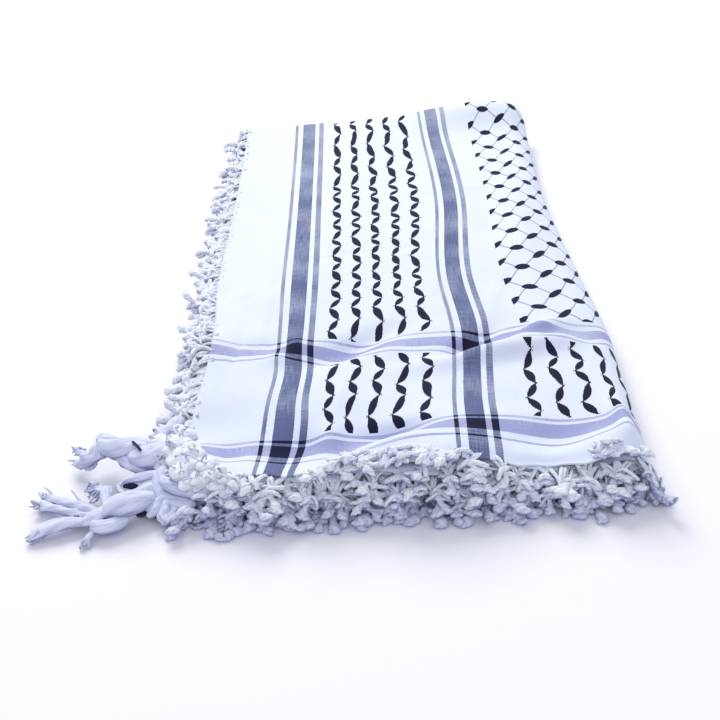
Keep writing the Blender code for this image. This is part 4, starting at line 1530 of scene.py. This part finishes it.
    def corner(self, material: bpy.types.Material) -> bpy.types.Object:
        """Build the fluff of fringe that gathers over the cloth corner."""
        rng = np.random.default_rng(self.seed + 2)
        made = gathered([self.fluff(rng), self.wisps(rng)])
        return made.piece("corner_fluff", material, Slot.FRINGE, self.origin)

    def fluff(self, rng: np.random.Generator) -> Shape:
        """Soft lumps, each a short lumpy tube r(s) = r·√(1 − s²) lying its own way."""
        made = []
        share = np.linspace(-1.0, 1.0, 12)
        profile = np.sqrt(np.maximum(1.0 - share ** 2, 0.02))
        for x, y, z, size in self.lumps:
            spin, tilt = rng.uniform(-1.2, 1.6), rng.uniform(-0.4, 0.4)
            way = np.array([math.cos(spin), math.sin(spin), tilt]) * size * self.lump_length
            path = np.array([x, y, z]) + way * share[:, None]
            swell = self.swell(share * 0.5 + 0.5, self.lump_sides, self.lump_pleats, rng)
            made.append(sweep(path[None], (size * profile)[None], self.lump_sides,
                              self.lump_flatness, swell))
        return gathered(made)

    def wisps(self, rng: np.random.Generator) -> Shape:
        """Thin curled yarns over the fluff: arcs that start and end on its lumps."""
        lumps = np.repeat(np.array(self.lumps), self.lump_yarns, axis=0)
        count, size = len(lumps), lumps[:, 3:4]
        start = lumps[:, :3] + rng.uniform(-0.9, 0.9, (count, 3)) * size
        stop = lumps[:, :3] + rng.uniform(-1.1, 1.1, (count, 3)) * size
        share = np.linspace(0.0, 1.0, 8)[None, :, None]
        path = start[:, None] + (stop - start)[:, None] * share
        path = path + rng.uniform(-0.5, 0.5, (count, 1, 3)) * size[:, None] \
            * np.sin(math.pi * share)
        path[..., 2] += size * 0.5 * np.sin(math.pi * share[..., 0])
        radii = np.repeat(rng.uniform(*self.wisp_radii, (count, 1)), 8, axis=1)
        return sweep(path, radii, 5)

    def frays(self, rng: np.random.Generator) -> Shape:
        """Loose yarns at the tips and necks of the tassels, thin and tapered."""
        ends = np.repeat(np.array(self.fray_ends), self.fray_yarns, axis=0)
        start, stop, wide = ends[:, :3], ends[:, 3:6], ends[:, 6:7]
        count = len(ends)
        start = start + rng.normal(0.0, 0.5, (count, 3)) * wide
        stop = stop + rng.normal(0.0, 0.6, (count, 3)) * wide
        share = np.linspace(0.0, 1.0, 8)
        path = start[:, None] + (stop - start)[:, None] * share[None, :, None]
        path = path + rng.normal(0.0, 0.5, (count, 1, 3)) * wide[:, None] \
            * np.sin(math.pi * share)[None, :, None]
        path[..., 2] = np.maximum(path[..., 2], 0.0012)
        radii = self.fray_radius * np.ones((count, 1)) * (1.0 - 0.6 * share)[None, :]
        return sweep(path, radii, 5)


# --------------------------------------------------------------------------- the studio


@dataclass
class Studio:
    """Floor, lights and camera."""

    origin: np.ndarray
    eye: tuple = (0.13737, -0.50676, 0.44908)
    dip: float = 33.469
    yaw: float = -1.877
    roll: float = -4.03
    lens: float = 51.38
    floor_colour: tuple = (0.97, 0.97, 0.97)
    sky: tuple = (0.84, 0.86, 1.0)
    sky_strength: float = 0.66
    key: float = 32.0
    fill_share: float = 0.08
    floor_reach: float = 4.0

    def camera(self) -> None:
        """Aim the camera: it looks down by the dip, turned by the yaw, then rolled."""
        dip, yaw, roll = (math.radians(a) for a in (self.dip, self.yaw, self.roll))
        look = Vector((math.sin(yaw) * math.cos(dip), math.cos(yaw) * math.cos(dip),
                       -math.sin(dip)))
        level = Vector((math.cos(yaw), -math.sin(yaw), 0.0))
        rise = level.cross(look)
        right = level * math.cos(roll) + rise * math.sin(roll)
        up = rise * math.cos(roll) - level * math.sin(roll)
        data = bpy.data.cameras.new("camera")
        data.lens = self.lens
        data.sensor_width = 36.0
        thing = new_object("camera", data)
        turn = Matrix((right, up, -look)).transposed().to_4x4()
        thing.matrix_world = Matrix.Translation(Vector(self.origin) + Vector(self.eye)) @ turn
        bpy.context.scene.camera = thing

    def light(self, name: str, place: tuple, aim: tuple, size: float, power: float,
              colour: tuple) -> None:
        """Add a square soft light that faces a point."""
        data = bpy.data.lights.new(name, "AREA")
        data.shape = "SQUARE"
        data.size = size
        data.energy = power
        data.color = colour
        thing = new_object(name, data)
        thing.location = place
        way = Vector(aim) - Vector(place)
        thing.rotation_euler = way.to_track_quat("-Z", "Y").to_euler()

    def build(self) -> None:
        """Build the studio."""
        scene = bpy.context.scene
        scene.view_settings.view_transform = "Standard"
        world = bpy.data.worlds.new("studio")
        scene.world = world
        world.use_nodes = True
        back = world.node_tree.nodes["Background"]
        back.inputs["Color"].default_value = (*self.sky, 1.0)
        back.inputs["Strength"].default_value = self.sky_strength
        reach = self.floor_reach
        corners = [(-reach, -reach, 0.0), (reach, -reach, 0.0), (reach, reach, 0.0),
                   (-reach, reach, 0.0)]
        mesh = bpy.data.meshes.new("floor")
        mesh.from_pydata(corners, [], [(0, 1, 2, 3)])
        material, _, shader = new_material("pale_floor", 0.9)
        shader.inputs["Base Color"].default_value = (*self.floor_colour, 1.0)
        mesh.materials.append(material)
        new_object("floor", mesh)
        self.light("key", (-0.45, 1.25, 1.45), (0.0, 0.0, 0.0), 1.2, self.key, (1.0, 0.99, 0.98))
        self.light("fill", (0.5, -1.3, 1.0), (0.0, 0.0, 0.0), 1.0, self.key * self.fill_share,
                   (0.92, 0.93, 1.0))
        self.camera()


def main() -> None:
    """Build the scarf on the CAD frame and dress it."""
    logging.basicConfig(level=logging.INFO, format="%(name)s: %(message)s")
    low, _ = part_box("cloth_outer")
    origin = np.array([low[0], low[1], 0.0])
    form = LyingForm()
    pattern = WovenPattern()
    weave, masks = pattern.weave(), pattern.masks()
    cotton = CottonFinish()
    patterned = cotton.material("patterned_cotton", weave, masks)
    plain = cotton.material("plain_cotton", weave, None)
    yarn = YarnFinish()
    twist, fibres = yarn.twist(), yarn.fibres()
    fringe_yarn = yarn.material("fringe_yarn", twist)
    # the front fringe's copy of the yarn, with painted shade on its lower rows
    shaded_yarn = YarnFinish(shade_depth=0.48).material("shaded_fringe_yarn", twist)
    # tassel yarn, darker and bluer than the fringe yarn, with stronger painted shade in its fibres and
    # underside
    tassel_yarn = YarnFinish(colour=(.78, .82, .97), deep=(.22, .24, .48), depth=1.05, bump=0.6,
                             bump_reach=0.0008).material("tassel_yarn", fibres)
    # near-black finish of the painted shadows in the tassels' holes and slits
    painted_gap_shadow = YarnFinish(colour=(.020, .022, .060), deep=(.004, .004, .012)).material(
        "painted_gap_shadow", twist)
    # fluff yarn with painted shade in its fibres and underside
    fluff_yarn = YarnFinish(depth=0.85, bump=0.6, bump_reach=0.0008).material(
        "fluff_yarn", fibres)
    cloth = FoldedCloth(form, origin).build(patterned)
    layers = HiddenLayers(form, origin).build(plain)
    front = KnottedFringe(form, origin, Edge.FRONT, FRONT_HANG, 3).build(shaded_yarn)
    left = KnottedFringe(form, origin, Edge.LEFT, LEFT_HANG, 5).build(fringe_yarn)
    corner = CornerTassels(origin)
    tassels = corner.build(tassel_yarn)
    dark = corner.dark(painted_gap_shadow)
    fluff = corner.corner(fluff_yarn)
    for piece in (cloth, layers, front, left, tassels, dark, fluff):
        log.info("%s: %d faces", piece.name, len(piece.data.polygons))
    Studio(origin).build()


if __name__ == "__main__":
    main()
